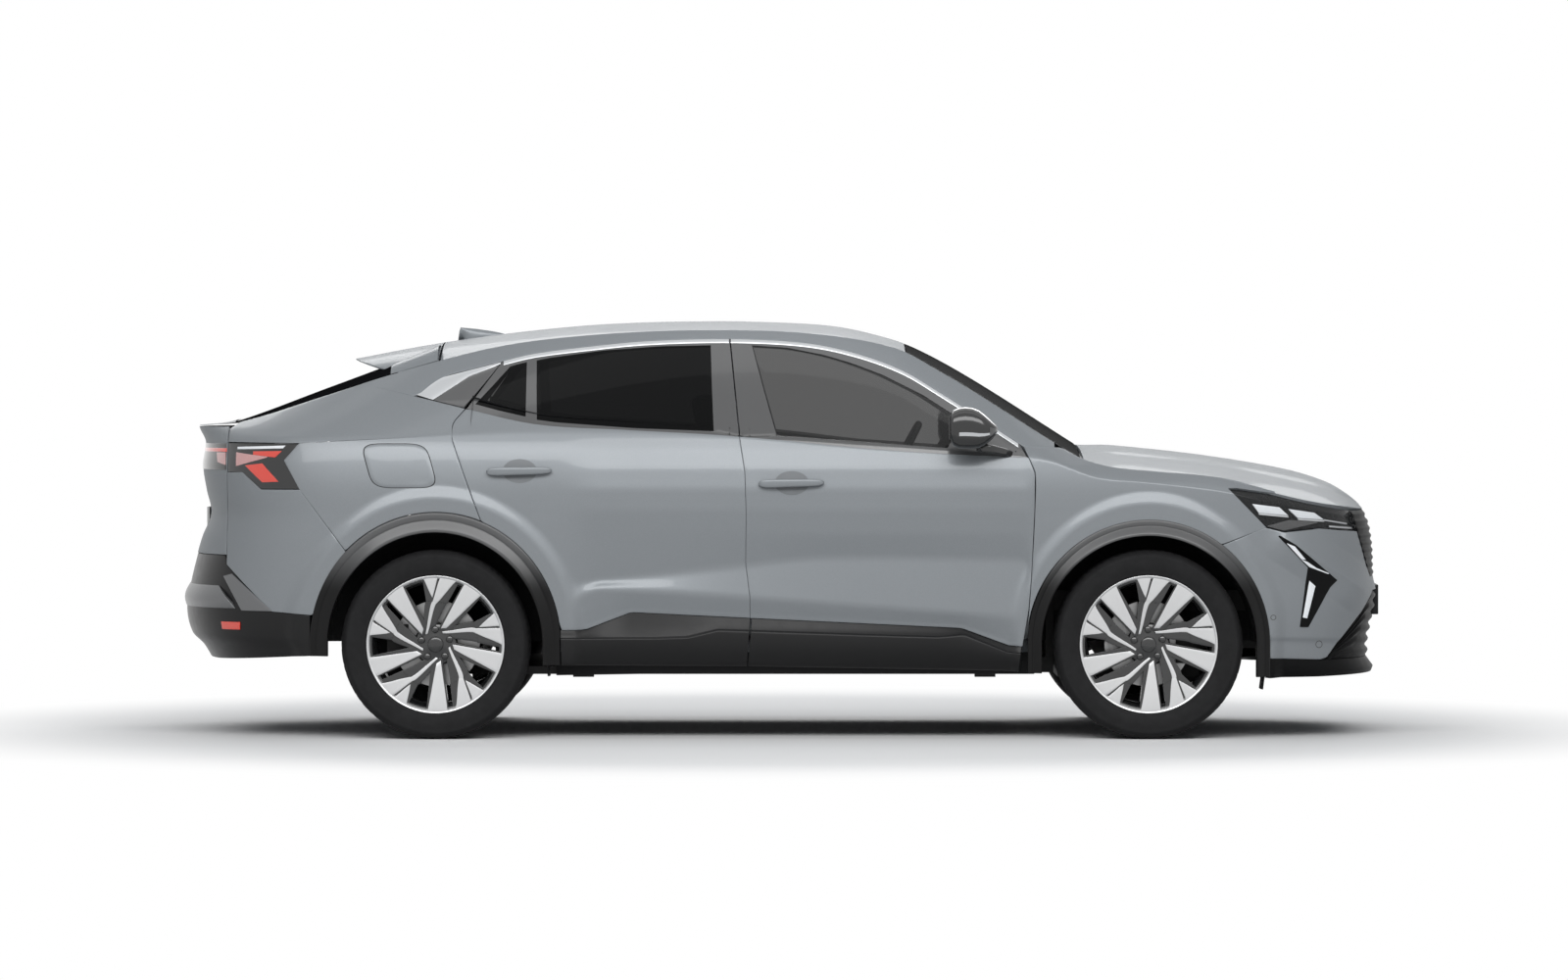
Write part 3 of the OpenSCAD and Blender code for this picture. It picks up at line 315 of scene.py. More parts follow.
def patch(bottom, top, rear, front):
    """Grid between four edges: the sum of the two ruled surfaces less the one through the corners. Rows run
    up and columns run forward."""
    s = np.linspace(0, 1, len(bottom))[None, :, None]
    t = np.linspace(0, 1, len(rear))[:, None, None]
    ruled = (1 - t) * bottom + t * top + (1 - s) * rear[:, None] + s * front[:, None]
    corners = (1 - t) * ((1 - s) * bottom[0] + s * bottom[-1]) + t * ((1 - s) * top[0] + s * top[-1])
    return ruled - corners


def normals(P):
    """Outward unit normals of a grid whose rows run up and columns forward."""
    n = np.cross(np.gradient(P, axis=0), np.gradient(P, axis=1))
    return n / np.maximum(np.linalg.norm(n, axis=-1, keepdims=True), 1e-9)


def folded(P, edges="btrf", depth=12.0, radius=2.0):
    """A grid with its edges turned in: four rows more along each named edge, the first three a rounded
    corner and the last at that depth below the surface."""
    N = normals(P)
    for letter, axis, last in (("b", 0, False), ("t", 0, True), ("r", 1, False), ("f", 1, True)):
        if letter not in edges:
            continue
        p, n = np.moveaxis(P, axis, 0), np.moveaxis(N, axis, 0)
        p, n = (p[::-1], n[::-1]) if last else (p, n)
        out = p[0] - p[1]
        out /= np.maximum(np.linalg.norm(out, axis=-1, keepdims=True), 1e-9)
        bend = ((0.5, 0.13), (0.87, 0.5), (1.0, 1.0))
        more = [p[0] + out * radius * a - n[0] * radius * b for a, b in bend]
        more.append(p[0] + out * radius - n[0] * max(depth, radius * 1.5))
        p = np.concatenate([np.stack(more[::-1]), p])
        n = np.concatenate([np.repeat(n[:1], 4, 0), n])
        p, n = (p[::-1], n[::-1]) if last else (p, n)
        P, N = np.moveaxis(p, 0, axis), np.moveaxis(n, 0, axis)
    return P


def across(P):
    """A grid that ends on the middle of the car, carried over it to the other side."""
    far = P[:, ::-1][:, 1:] * np.array([1, -1, 1])
    return np.concatenate([P, far], 1)


WELD = 0.00002  # points closer than this are one point, m


def piece(name, grids, material, body, nodes=(), side=1):
    """One object from grids of points in millimetres: four-sided faces, equal points merged, and a grid for
    the right side mirrored with its faces turned round."""
    points, faces, start = [], [], 0
    for P in grids:
        rows, cols = P.shape[:2]
        k = start + np.arange(rows * cols).reshape(rows, cols)
        quads = np.stack([k[:-1, :-1], k[1:, :-1], k[1:, 1:], k[:-1, 1:]], -1).reshape(-1, 4)
        points.append(P.reshape(-1, 3))
        faces.append(quads)
        start += rows * cols
    points, faces = np.concatenate(points) * 0.001, np.concatenate(faces)
    if side < 0:
        points = points * np.array([1, -1, 1])
        faces = faces[:, ::-1]
    keys = np.round(points / WELD).astype(np.int64)
    _, first, same = np.unique(keys, axis=0, return_index=True, return_inverse=True)
    points, faces = points[first], same.reshape(-1)[faces]
    ordered = np.sort(faces, 1)
    whole = (np.diff(ordered, axis=1) > 0).all(1)
    thin = [list(dict.fromkeys(f)) for f in faces[~whole].tolist()]
    mesh = bpy.data.meshes.new(name)
    mesh.from_pydata(points.tolist(), [], faces[whole].tolist() + [f for f in thin if len(f) == 3])
    mesh.polygons.foreach_set("use_smooth", [True] * len(mesh.polygons))
    mesh.materials.append(material)
    mesh.update()
    made = bpy.data.objects.new(name, mesh)
    bpy.context.scene.collection.objects.link(made)
    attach(made, body)
    if nodes:
        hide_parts(*nodes)
    return made


def pair(name, grids, material, body, slot, *nodes):
    """A piece on each side of the car, the right one mirrored. In each name {} stands for the side, and a
    node that both sides share is replaced by the left piece."""
    for side, word in SIDES:
        mine = [node.format(word) for node in nodes if side > 0 or "{}" in node]
        piece(name.format(word), grids, material, body.format(word), mine, side)


FLAKES = (0.225, 0.243, 0.258), (0.285, 0.303, 0.32)


def facing(place):
    """0 where the surface faces the eye and 1 where it is seen edge on."""
    return place.node("ShaderNodeLayerWeight", {}, {"Blend": 0.5}, "Facing")


def metallic_grey(place):
    """Fine flakes under clear coat; coat and metal fade edge on, a painted shade on grazing reflections."""
    flake = place.node("ShaderNodeTexVoronoi", {}, {"Vector": place, "Scale": 1400.0}, "Color")
    spark = flake.node("ShaderNodeRGBToBW", {}, {0: flake})
    edge_on_dimming = facing(place)
    return {
        "Base Color": blend(spark, *FLAKES),
        "Roughness": 0.36 + 0.06 * noise(place, 2.5),
        "Metallic": 0.35 - 0.33 * edge_on_dimming,
        "Coat Weight": 0.55 - 0.53 * edge_on_dimming,
    }


paint = finish("grey_metallic_paint", (0.25, 0.27, 0.29), 0.38, 0.3,
               {"Coat Roughness": 0.06, "Coat IOR": 1.4, "Specular IOR Level": 0.02}, metallic_grey)

SHUT = 2.4  # half the gap between two panels, mm
ARCH = {"front": (FRONT, 466, 480, 412, 418), "rear": (REAR, 482, 507, 412, 431)}
C_GAP = [(-1164, 842), (-1235, 1034), (-1274, 1150), (-1277, 1171), (-1271, 1213), (-1228, 1269),
         (-1188, 1329), (-1093, 1449)]
window_top = [
    (-1408, 1322), (-1366, 1360), (-1309, 1394), (-1214, 1420), (-1093, 1451), (-967, 1481), (-758, 1508),
    (-530, 1530), (-207, 1538), (78, 1523), (268, 1485), (458, 1416), (610, 1325), (705, 1264), (921, 1122)]
waist_line = [(-1420, 1316), (-1261, 1277), (-959, 1209), (-601, 1186), (-269, 1168), (-36, 1149),
              (378, 1110), (715, 1089), (925, 1081)]
lamp_edge = [(-1861, 961), (-1921, 1070), (-1863, 1136)]


def arch_line(which, a0, a1, n, grow):
    """Points of the cladding's outer edge over a wheel between two angles: a half ellipse about the axle."""
    x, rx, rz = ARCH[which][:3]
    a = np.radians(np.linspace(a0, a1, n))
    return np.stack([x + (rx + grow) * np.cos(a), WHEEL_Z + (rz + grow) * np.sin(a)], 1)


def rail_edge(x0, x1, n, drop):
    """Points of the rail between two places along the car."""
    x = np.linspace(x0, x1, n)
    return np.stack([x, curve(rail_line, x) - drop], 1)


def side_grids():
    """The quarter panel below the window line and the pillar above it, as two grids of places."""
    over = arch_line("rear", 135.0, 69.4, 90, 1)
    low = edge(np.concatenate([[(-1857, 958)], over]), 80)
    belt = edge([(-1863, 1138), (-1700, 1146), (-1400, 1160), (-1277, 1165)], 80, True)
    lamp = edge(lamp_edge, 54)
    gap = edge([(x - SHUT, z) for x, z in C_GAP[:3]] + [(-1278, 1165)], 54, True)
    quarter = patch(low, belt, lamp, gap)
    upper_gap = edge([(-1278, 1165), (-1273 - SHUT, 1213), (-1230 - SHUT, 1269)], 30, True)
    ends = edge([(-2150, 1140), (-2150, 1190), *rail_edge(-2110, -1640, 30, 1)], 60)
    wedge = edge([(-1640, curve(rail_line, -1640) - 1), (-1423, 1316), (-1232, 1270)], 48)
    belt_up = edge([(-2150, 1140), (-1863, 1138), (-1700, 1146), (-1400, 1160), (-1278, 1165)], 48, True)
    return quarter, patch(belt_up, wedge, spaced(ends, 36), spaced(upper_gap, 36))


quarter, pillar = side_grids()
top_x = np.linspace(-1640, 1040, 180)
smooth_top = curve(window_top, np.clip(top_x, -1408, 921))
wedge_edge = np.interp(top_x, [-1640, -1423], [float(curve(rail_line, -1640)) - 2, 1318])
low_edge = np.where(top_x < -1423, wedge_edge, smooth_top + 3)
low_edge = np.where(top_x > 921, np.interp(top_x, [921, 1040], [1124, 1122]), low_edge)
high_edge = curve(rail_line, top_x)
low_edge = np.minimum(low_edge, high_edge - 1.5)
rail_low = np.stack([top_x, low_edge], 1)
rail_high = np.stack([top_x, high_edge], 1)
t = np.linspace(0, 1, 10)[:, None, None]
rail = (1 - t) * rail_low + t * rail_high
rail = np.stack([around(rail[..., 0], rail[..., 1]), rail[..., 1]], -1)
panels = [folded(laid(quarter), "brf"), folded(laid(pillar), "rf"), folded(laid(rail), "bf", 20)]
pair("side_panel_{}", panels, paint, "body", "body_paint")

# Sills and posts: folded steel boxes behind the doors, in the body's paint with black underseal below that
# also stands as painted shade under the car, spot welded to the side panels and the floor. They show when a
# door is open and through the glass.


def box_run(path, sizes, n=28, power=4.0):
    """A closed tube along a path of points: at each point a superellipse section of that half width across
    the car and half height along it, with a cap at both ends."""
    path, sizes = np.asarray(path, float), np.asarray(sizes, float)
    a = np.linspace(0, 2 * math.pi, n + 1)
    c, s = np.cos(a), np.sin(a)
    ring = np.stack([np.sign(c) * np.abs(c) ** (2 / power), np.sign(s) * np.abs(s) ** (2 / power)], 1)
    along = np.gradient(path, axis=0)
    along /= np.linalg.norm(along, axis=1, keepdims=True)
    over = np.tile([0.0, 1.0, 0.0], (len(path), 1))
    over -= along * (over * along).sum(1, keepdims=True)
    over /= np.linalg.norm(over, axis=1, keepdims=True)
    up = np.cross(along, over)
    wide, high = over[:, None] * sizes[:, None, :1], up[:, None] * sizes[:, None, 1:]
    rows = path[:, None] + wide * ring[None, :, :1] + high * ring[None, :, 1:]
    first, last = np.repeat(path[:1], n + 1, 0)[None], np.repeat(path[-1:], n + 1, 0)[None]
    return np.concatenate([first, rows, last])[:, ::-1]


def wheelhouse(x, radius, y0, y1):
    """Half a drum over a wheel: an arc about the axle carried across the car, closed by its inner wall."""
    a = np.linspace(0, math.pi, 60)
    y = np.array([y1, y1 - 4, y0 + 30, y0 + 8, y0, y0])
    r = np.array([radius + 6, radius, radius, radius - 8, radius - 34, 60.0])
    return np.stack([x + r[:, None] * np.cos(a), np.repeat(y[:, None], len(a), 1),
                     WHEEL_Z + r[:, None] * np.sin(a)], -1)


def sill_paint_painted_shade(place):
    """Paint above the sill's middle; rough black below, as underseal and as painted shade under the car."""
    height = place.node("ShaderNodeSeparateXYZ", {}, {0: place}, "Z")
    spark = noise(place, 900.0)
    painted = blend(spark, *FLAKES)
    above = height > 0.33
    return {
        "Base Color": above.node("ShaderNodeMix", {"data_type": "RGBA"},
                                 {0: above, 6: (0.012, 0.012, 0.013, 1), 7: painted}, 2),
        "Roughness": 0.8 - 0.42 * above,
    }


# The black under the sill's middle is underseal, and also painted shade where the sill shows under the car.
shell_paint = finish("paint_over_black_underseal_and_shade", (0.25, 0.27, 0.29), 0.4, 0.3, varying=sill_paint_painted_shade)
boxes = [
    box_run([(-880, 712, 312), (-500, 712, 318), (300, 712, 318), (950, 708, 318)], [(62, 74)] * 4),
    box_run([(-135, 700, 350), (-150, 690, 700), (-160, 680, 1040), (-190, 600, 1300), (-210, 530, 1490)],
            [(55, 52), (55, 48), (52, 44), (34, 42), (24, 40)]),
    box_run([(910, 705, 350), (930, 710, 700), (940, 715, 1000), (985, 755, 1130)],
            [(55, 44), (55, 40), (50, 40), (30, 44)]),
]
pair("side_structure_{}", boxes, shell_paint, "body", "body_paint", "body_side_{}")

# Wheel liners: felted black moulded tubs clipped into the four arches, with a closed inner wall that leaves
# room for the front wheels to steer.

felt = finish("black_liner_felt", (0.012, 0.012, 0.013), 0.95, varying=lambda place: {
    "Base Color": blend(noise(place, 160.0, 5.0), (0.006, 0.006, 0.007), (0.022, 0.022, 0.023)),
    "Normal": bump(noise(place, 700.0), 0.5, 0.001)})
tubs = [wheelhouse(FRONT, 424, 455, 872), wheelhouse(REAR, 440, 562, 878)]
pair("wheel_liner_{}", tubs, felt, "body", "black_plastic", "wheel_liners")

# Front wings: painted steel pressings bolted along the engine bay, bulged around the wheel, with a shut
# line to the door behind, the bonnet above and the lamp and bumper ahead.

FRONT_GAP = [(903, 284), (915, 362), (939, 501), (951, 672), (962, 881), (964, 1018), (951, 1055),
             (921, 1122)]
wing_low = edge([*arch_line("front", 172.0, 53.4, 110, 1), (1704, 759), (1851, 813)], 120)
wing_top = edge([(924, 1121), (1010, 1121), (1062, 1118), *rail_edge(1085, 1697, 60, 0.8)], 120)
wing_rear = edge([(x + SHUT, z) for x, z in [(931, 428)] + FRONT_GAP[2:]], 68, True)
wing_front = edge([(1851, 813), (1778, 888), (1705, 962), (1697, curve(rail_line, 1697) - 0.8)], 68)
wing = patch(wing_low, wing_top, wing_rear, wing_front)
tip_rear = edge([(1690, 966), (1690, curve(rail_line, 1690) - 1.5)], 20)
tip_front = edge([(1886, 946), (1886, curve(rail_line, 1886) - 1.5)], 20)
tip = patch(edge([(1690, 966), (1740, 967), (1886, 946)], 50), edge(rail_edge(1690, 1886, 50, 1.5), 50),
            tip_rear, tip_front)
pair("front_wing_{}", [folded(laid(wing), "btr", 12, 1.0), folded(laid(tip, 0.3), "btf")],
     paint, "body", "body_paint", "fenders")

# Roof: one painted pressing between the two rails, with a pressed step along both sides and a small
# painted aerial fin glued on behind.

roof_line = [
    (-1688, 1465), (-1358, 1527), (-1048, 1570), (-698, 1602), (-290, 1613), (0, 1607), (200, 1593),
    (352, 1562), (510, 1511), (740, 1387), (1138, 1135)]


def end_shares(q):
    """For a place q, which past a corner is an angle times the end's plain length: x for the tables, and the
    shares of the end's length and of the half width that are left there."""
    q = np.asarray(q, float)
    plain, length, width = q.copy(), np.zeros_like(q), np.ones_like(q)
    for sign, corner, reach, power in ((1, CORNER_F, PLAIN_F, POWER_F), (-1, CORNER_R, PLAIN_R, POWER_R)):
        past, long, wide = rounded(q, sign, corner, reach, power)
        plain = np.where(past, corner + sign * reach * long, plain)
        length = np.where(past, long, length)
        width = np.where(past, wide, width)
    return plain, length, width


def rail_point(q):
    """The rail at a place q, as x, half width and height."""
    plain, length, width = end_shares(q)
    z = curve(rail_line, plain)
    ahead, behind = end_reach(z)
    x = np.where(q > CORNER_F, CORNER_F + ahead * length,
                 np.where(q < CORNER_R, CORNER_R - behind * length, plain))
    return x, width * half_width(plain, z), z


def crowned(line, q, share, power, drop, inset):
    """Roof, bonnet or glass from rail to rail: at each place the height falls from the centre line to the
    rail with a power of the share of the half width."""
    x, w, z = rail_point(q)
    c = np.maximum(curve(line, x), z)
    y = share * np.maximum(w - inset, 1)
    fall = np.minimum(1, np.abs(y) / np.maximum(w, 1)) ** power
    return np.stack([x + 0 * y, y, c - (c - z) * fall - drop], -1)


def rail_shares(n):
    """n shares of the half width from rail to rail, closer together near the rails by a power of 1.3."""
    s = np.linspace(-1, 1, n)
    return np.sign(s) * (1 - (1 - np.abs(s)) ** 1.3)


def crown_grid(line, u0, u1, rows, cols, power=2.3, drop=0.0, inset=0.0):
    """A crowned grid from place u0 to u1, with its columns closer together near the rails."""
    return crowned(line, np.linspace(u0, u1, rows)[:, None], rail_shares(cols)[None], power, drop, inset)


roof = crown_grid(roof_line, -1334, 470, 90, 70)
piece("roof_skin", [folded(roof, "b", 20)], paint, "body", ("roof_panel",))
s = np.linspace(0, 1, 40)[:, None]
a = np.linspace(0, math.pi, 25)[None, :]
fin_x = -1103 - 168 * s
fin_h = 52 * s**0.75 * np.where(s > 0.95, np.sqrt(np.clip((1 - s) / 0.05, 0, 1)), 1)
fin_w = 24 * np.sqrt(np.clip(1 - (2 * s - 1) ** 4, 0, 1)) * (1 - 0.4 * s)
fin = np.stack([fin_x - 22 * np.sin(a) ** 2 * s, fin_w * np.cos(a),
                curve(roof_line, fin_x) - 3 + fin_h * np.sin(a) ** 0.8], -1)
piece("aerial_fin", [fin], paint, "body")

# Headliner: a pale grey felt board clipped under the roof, seen through the open doors
# and the front windows.

pale_felt = finish("headliner_felt", (0.35, 0.35, 0.34), 0.95, varying=lambda place: {
    "Base Color": blend(noise(place, 240.0, 4.0), (0.30, 0.30, 0.29), (0.40, 0.40, 0.39))})
piece("headliner", [crown_grid(roof_line, -1320, 455, 40, 40, 2.3, 29, 26)[:, ::-1]],
      pale_felt, "body")

# Windscreen: laminated glass bonded to the pillars and the header, with a black ceramic band around its
# edge. The base sits in a black scuttle panel that also covers the wipers' spindles.


def see_through(low, spread, strength=0.15):
    """Glass that hides low of what is behind it when seen square on, and spread more at a glance."""
    return lambda place: {
        "Alpha": low + spread * place.node("ShaderNodeLayerWeight", {}, {"Blend": strength}, "Fresnel")}


def screen_pane(place):
    """Clear glass whose reflection fades where it is seen at a glance."""
    return {**see_through(0.72, 0.28)(place), "Coat Weight": 0.8 - 0.8 * facing(place)}


clear_glass = finish("clear_glass", (0.012, 0.0125, 0.013), 0.03, 0.0, {"Specular IOR Level": 0.4},
                     see_through(0.72, 0.28))
dark_glass = finish("privacy_glass", (0.004, 0.0043, 0.0046), 0.03, 0.0, {"Specular IOR Level": 0.08},
                    see_through(0.95, 0.05))
gloss_black = finish("gloss_black_trim", (0.012, 0.0125, 0.013), 0.1, 0.0,
                     {"Coat Weight": 0.4, "Coat Roughness": 0.03}, wander(0.1, 0.06, 6.0))
grained_black = finish(
    "grained_black_plastic", (0.016, 0.016, 0.017), 0.55, 0.0, {"Specular IOR Level": 0.2}, lambda place: {
        "Base Color": blend(noise(place, 30.0, 4.0), (0.012, 0.012, 0.013), (0.021, 0.021, 0.022)),
        "Roughness": 0.46 + 0.18 * noise(place, 60.0),
        "Normal": bump(grain(place, 900.0), 0.3, 0.0004)})
screen_glass = finish("screen_glass", (0.012, 0.0125, 0.013), 0.03, 0.0,
                      {"Specular IOR Level": 0.0, "Coat Roughness": 0.02}, screen_pane)
ceramic = finish("black_ceramic_edge", (0.008, 0.008, 0.009), 0.6, 0.0, {"Specular IOR Level": 0.0},
                 wander(0.5, 0.2, 50.0))
screen = crown_grid(roof_line, 476, 1138, 44, 54, 2.3, 1.0, 14)
piece("windscreen_glass", [folded(screen, "btrf", 5)], screen_glass, "body", ("windscreen",))
band = crown_grid(roof_line, 470, 1140, 60, 91, 2.3, 2.5, 4)
strips = [band[:, :9], band[:, -9:], band[:7], band[-8:]]
piece("windscreen_band", strips, ceramic, "body")
scuttle_u = np.linspace(1120, 1175, 8)[:, None]
scuttle = crowned([(1050, 1118), (1175, 1104)], scuttle_u, np.linspace(-1, 1, 60)[None], 2.3, 4, 30)
piece("scuttle", [scuttle], grained_black, "body")

# Front doors: painted steel skins with a flat sunken band low down, hung on the front post, each with a
# gloss black window frame, a side window, a moulded lower cladding and a body-colour pull handle.

B_GAP = [(-140, 290), (-115, 373), (-109, 415), (-130, 467), (-131, 547), (-147, 674), (-145, 864),
         (-150, 1024), (-170, 1155), (-210, 1540)]


def waist(x, rise=0.0):
    """Points of the window line at places along the car."""
    x = np.asarray(x, float)
    return np.stack([x, curve(waist_line, x) + rise], -1)


def cut_between(points, z0, z1):
    """The part of a line of (x, z) points, rising in z, between two heights."""
    p = np.asarray(points, float)
    inside = p[(p[:, 1] > z0) & (p[:, 1] < z1)]
    at = [[np.interp(z, p[:, 1], p[:, 0]), z] for z in (z0, z1)]
    return np.concatenate([at[:1], inside, at[1:]])


def door_skin(rear_gap, front_gap, x0, x1):
    """Outer skin of a door between its two gaps, from the cladding up to the window line."""
    low = np.linspace(x0[0], x1[0], 60)
    bottom = np.stack([low, straight(cladding_line, low)], 1)
    top = waist(np.linspace(x0[1], x1[1], 60))
    rear = cut_between(rear_gap, bottom[0, 1], top[0, 1])
    front = cut_between(front_gap, bottom[-1, 1], top[-1, 1])
    bottom[0], bottom[-1], top[0], top[-1] = rear[0], front[0], rear[-1], front[-1]
    return patch(edge(bottom, 84), edge(top, 84), edge(rear, 90), edge(front, 90))


def hoop(outer, inner, n=26, rows=7):
    """A flat frame between two closed outlines, each given as the same number of sides."""
    out = np.concatenate([edge(e, n) for e in outer])
    inn = np.concatenate([edge(e, n) for e in inner])
    out, inn = np.concatenate([out, out[:1]]), np.concatenate([inn, inn[:1]])
    t = np.linspace(0, 1, rows)[:, None, None]
    return t * inn + (1 - t) * out


def pane(bottom, top, rear, front, t):
    """A side window: a patch set into the skin by t."""
    g = patch(edge(bottom, 36, True), edge(top, 36, True), edge(rear, 30, True), edge(front, 30, True))
    return folded(laid(g, t), "btrf", 4, 1.0)


def on_top(x):
    """Points of the window line's upper edge, under the bright strip."""
    x = np.asarray(x, float)
    return np.stack([x, curve(window_top, x)], -1)


def ribbon(low, high, n, t=-1.5, rows=7, crown=2.5, over=None):
    """A strip of trim between two lines, crowned across its width. Where the panel below is raised by over,
    so is the strip."""
    a, b = edge(low, n), edge(high, n)
    s = np.linspace(0, 1, rows)
    g = a[None] + (b - a)[None] * s[:, None, None]
    depth = (t + crown * (2 * s - 1) ** 2)[:, None] - (over(g) if over else 0)
    return folded(laid(g, depth), "btrf", 8, 0.6)


def lining(g, t=100.0):
    """A door's inner panel: a patch well inside the skin, facing the cabin, its edges carried out to it."""
    return folded(laid(g, t)[:, ::-1], "btrf", t - 14, 8.0)


cabin_black = finish("soft_cabin_plastic", (0.03, 0.03, 0.032), 0.6, varying=lambda place: {
    "Base Color": blend(noise(place, 20.0), (0.024, 0.024, 0.026), (0.04, 0.04, 0.042)),
    "Normal": bump(grain(place, 700.0), 0.3, 0.0005)})
# Grey trim; on the gloss black window frames and pillar covers its grey base is a painted reflection.
grey_trim_and_painted_reflection = finish("grey_cover_and_painted_reflection", (0.085, 0.086, 0.088), 0.16, 0.0, {"Coat Weight": 0.5},
                    wander(0.14, 0.06, 6.0))
bright = finish("satin_bright_trim", (0.5, 0.515, 0.53), 0.28, 1.0, varying=wander(0.26, 0.1, 40.0))
front_gap = [(x - SHUT, z) for x, z in FRONT_GAP]
rear_of_front = [(x + SHUT, z) for x, z in B_GAP]
front_skin = door_skin(rear_of_front, front_gap, (-125, -168), (914, 930))
front_trim = patch(edge([(-100, 318), (870, 318)], 36), edge(waist(np.linspace(-125, 885, 40), -8), 36),
                   edge([(-100, 318), (-85, 480), (-110, 800), (-125, 1150)], 30),
                   edge([(870, 318), (905, 560), (915, 900), (885, 1075)], 30))
front_glass_sides = (
    [(-28, 1164), (300, 1141), (628, 1118)],
    [(-125, 1514), (17, 1504), (158, 1476), (264, 1444), (382, 1399), (534, 1323), (682, 1227)],
    [(-28, 1164), (-78, 1340), (-125, 1514)], [(628, 1118), (664, 1178), (682, 1227)])
b_top = float(np.interp(1531, [1155, 1540], [-170, -210]))
frame_outer = [
    waist(np.linspace(-168, 932, 40), 1), [(932, 1083), (907, 1128)], on_top(np.linspace(907, -206, 60)),
    [(b_top + SHUT, 1534), (-167, 1158)]]
g = front_glass_sides
frame_inner = [g[0], g[3], g[1][::-1], g[2][::-1]]
front_frame = hoop(frame_outer, frame_inner)
body = "door_front_{}"
door = folded(laid(front_skin))
pair("front_door_skin_{}", [door], paint, body, "body_paint", "front_door_{}")
pair("front_door_trim_{}", [lining(front_trim)], cabin_black, body, "cabin_plastic")
# The window frames are gloss black; their grey base colour is a painted reflection.
ring = laid(front_frame, 2.0)
pair("front_door_frame_{}", [ring], grey_trim_and_painted_reflection, body, "gloss_black")
pair("front_window_{}", [pane(*front_glass_sides, 3.0)], clear_glass, body, "clear_glass", "front_glass_{}")
strip_x = np.linspace(-206, 900, 80)
pair("front_door_strip_{}", [ribbon(on_top(strip_x) - [0, 15], on_top(strip_x), 80)], bright, body, "alloy")

# Rear doors: like the front ones, hung on the middle post, cut round the wheel arch behind, with a fixed
# quarter light and privacy glass.

front_of_rear = [(x - SHUT, z) for x, z in B_GAP]
rear_x = np.linspace(-800, -130, 30)
rear_low = np.concatenate([arch_line("rear", 68.6, 9.5, 60, 2), [(-852, 421)],
                           np.stack([rear_x, straight(cladding_line, rear_x)], 1)])
rear_top = waist(np.linspace(-1224, -172, 60))
rear_c = [(x + SHUT, z) for x, z in C_GAP[:5]] + [(-1228 + SHUT, 1266)]
rear_low[0] = rear_c[0]
front_c = cut_between(front_of_rear, rear_low[-1, 1], rear_top[-1, 1])
rear_low[-1], rear_top[-1], rear_top[0] = front_c[0], front_c[-1], rear_c[-1]
rear_skin = patch(edge(rear_low, 120), edge(rear_top, 120), edge(rear_c, 72, True), edge(front_c, 72))
rear_trim = patch(edge([(-770, 318), (-180, 318)], 36), edge(waist(np.linspace(-1190, -215, 40), -8), 36),
                  edge([(-770, 318), (-815, 450), (-895, 640), (-1040, 800), (-1135, 890), (-1195, 1050),
                        (-1190, 1255)], 30, True),
                  edge([(-180, 318), (-165, 480), (-185, 800), (-215, 1155)], 30))
DIVIDER = -976
rear_glass_sides = (
    [(-951, 1226), (-873, 1216), (-578, 1194), (-270, 1182)],
    [(-958, 1455), (-910, 1465), (-697, 1494), (-484, 1510), (-284, 1514)],
    [(-951, 1226), (-955, 1340), (-958, 1455)], [(-270, 1182), (-278, 1350), (-284, 1514)])
quarter_sides = (
    [(-1190, 1286), (-1100, 1262), (-994, 1238)], [(-1060, 1432), (-1028, 1441), (-996, 1449)],
    [(-1190, 1286), (-1130, 1352), (-1060, 1432)], [(-994, 1238), (-995, 1340), (-996, 1449)])
g, q = rear_glass_sides, quarter_sides
rear_frame = hoop(
    [waist(np.linspace(DIVIDER, -173, 40), 1), [(-173, 1160), (b_top - SHUT, 1534)],
     on_top(np.linspace(-212, DIVIDER, 50)), [(DIVIDER, 1479), (DIVIDER, 1214)]],
    [g[0], g[3], g[1][::-1], g[2][::-1]])
quarter_frame = hoop(
    [waist(np.linspace(-1222, DIVIDER, 30), 1), [(DIVIDER, 1214), (DIVIDER, 1479)],
     on_top(np.linspace(DIVIDER, -1090, 20)), [(-1090, 1451), (-1222, 1269)]],
    [q[0], q[3], q[1][::-1], q[2][::-1]])
body = "door_rear_{}"
pair("rear_door_skin_{}", [folded(laid(rear_skin))], paint, body, "body_paint", "rear_door_{}")
pair("rear_door_trim_{}", [lining(rear_trim)], cabin_black, body, "cabin_plastic")
# The window frames are gloss black; their grey base colour is a painted reflection.
rings = [laid(f, 2.0) for f in (rear_frame, quarter_frame)]
pair("rear_door_frame_{}", rings, grey_trim_and_painted_reflection, body, "gloss_black")
panes = [pane(*rear_glass_sides, 3.0), pane(*quarter_sides, 3.0)]
pair("rear_window_{}", panes, dark_glass, body, "dark_glass", "rear_glass_{}")
strip_x = np.linspace(-1086, -214, 80)
pair("rear_door_strip_{}", [ribbon(on_top(strip_x) - [0, 15], on_top(strip_x), 80)], bright, body, "alloy")
bright_wedge = ribbon([(-1355, 1304), (-1221, 1393), (-1099, 1441)],
                      [(-1424, 1324), (-1338, 1386), (-1097, 1449)], 60)
pair("pillar_strip_{}", [bright_wedge], bright, "body", "alloy")
# The pillar cover is gloss black; its grey base colour is a painted reflection.
dark_wedge = ribbon([(-1353, 1303), (-1234, 1274)], [(-1353, 1304), (-1222, 1391), (-1104, 1436)],
                    50, 0.5, 7, 0.0)
pair("pillar_cover_{}", [dark_wedge], grey_trim_and_painted_reflection, "body", "gloss_black")

# Lower cladding: black grained plastic mouldings clipped along the doors and around the arches, standing a
# little proud of the paint, with a scooped ledge along the doors.

sill_line = [(-880, 285), (-130, 281), (840, 263), (955, 258)]
ledge_line = [(-880, 388), (-490, 388), (-367, 392), (-250, 421), (448, 398), (597, 394), (694, 404),
              (862, 335), (955, 328)]


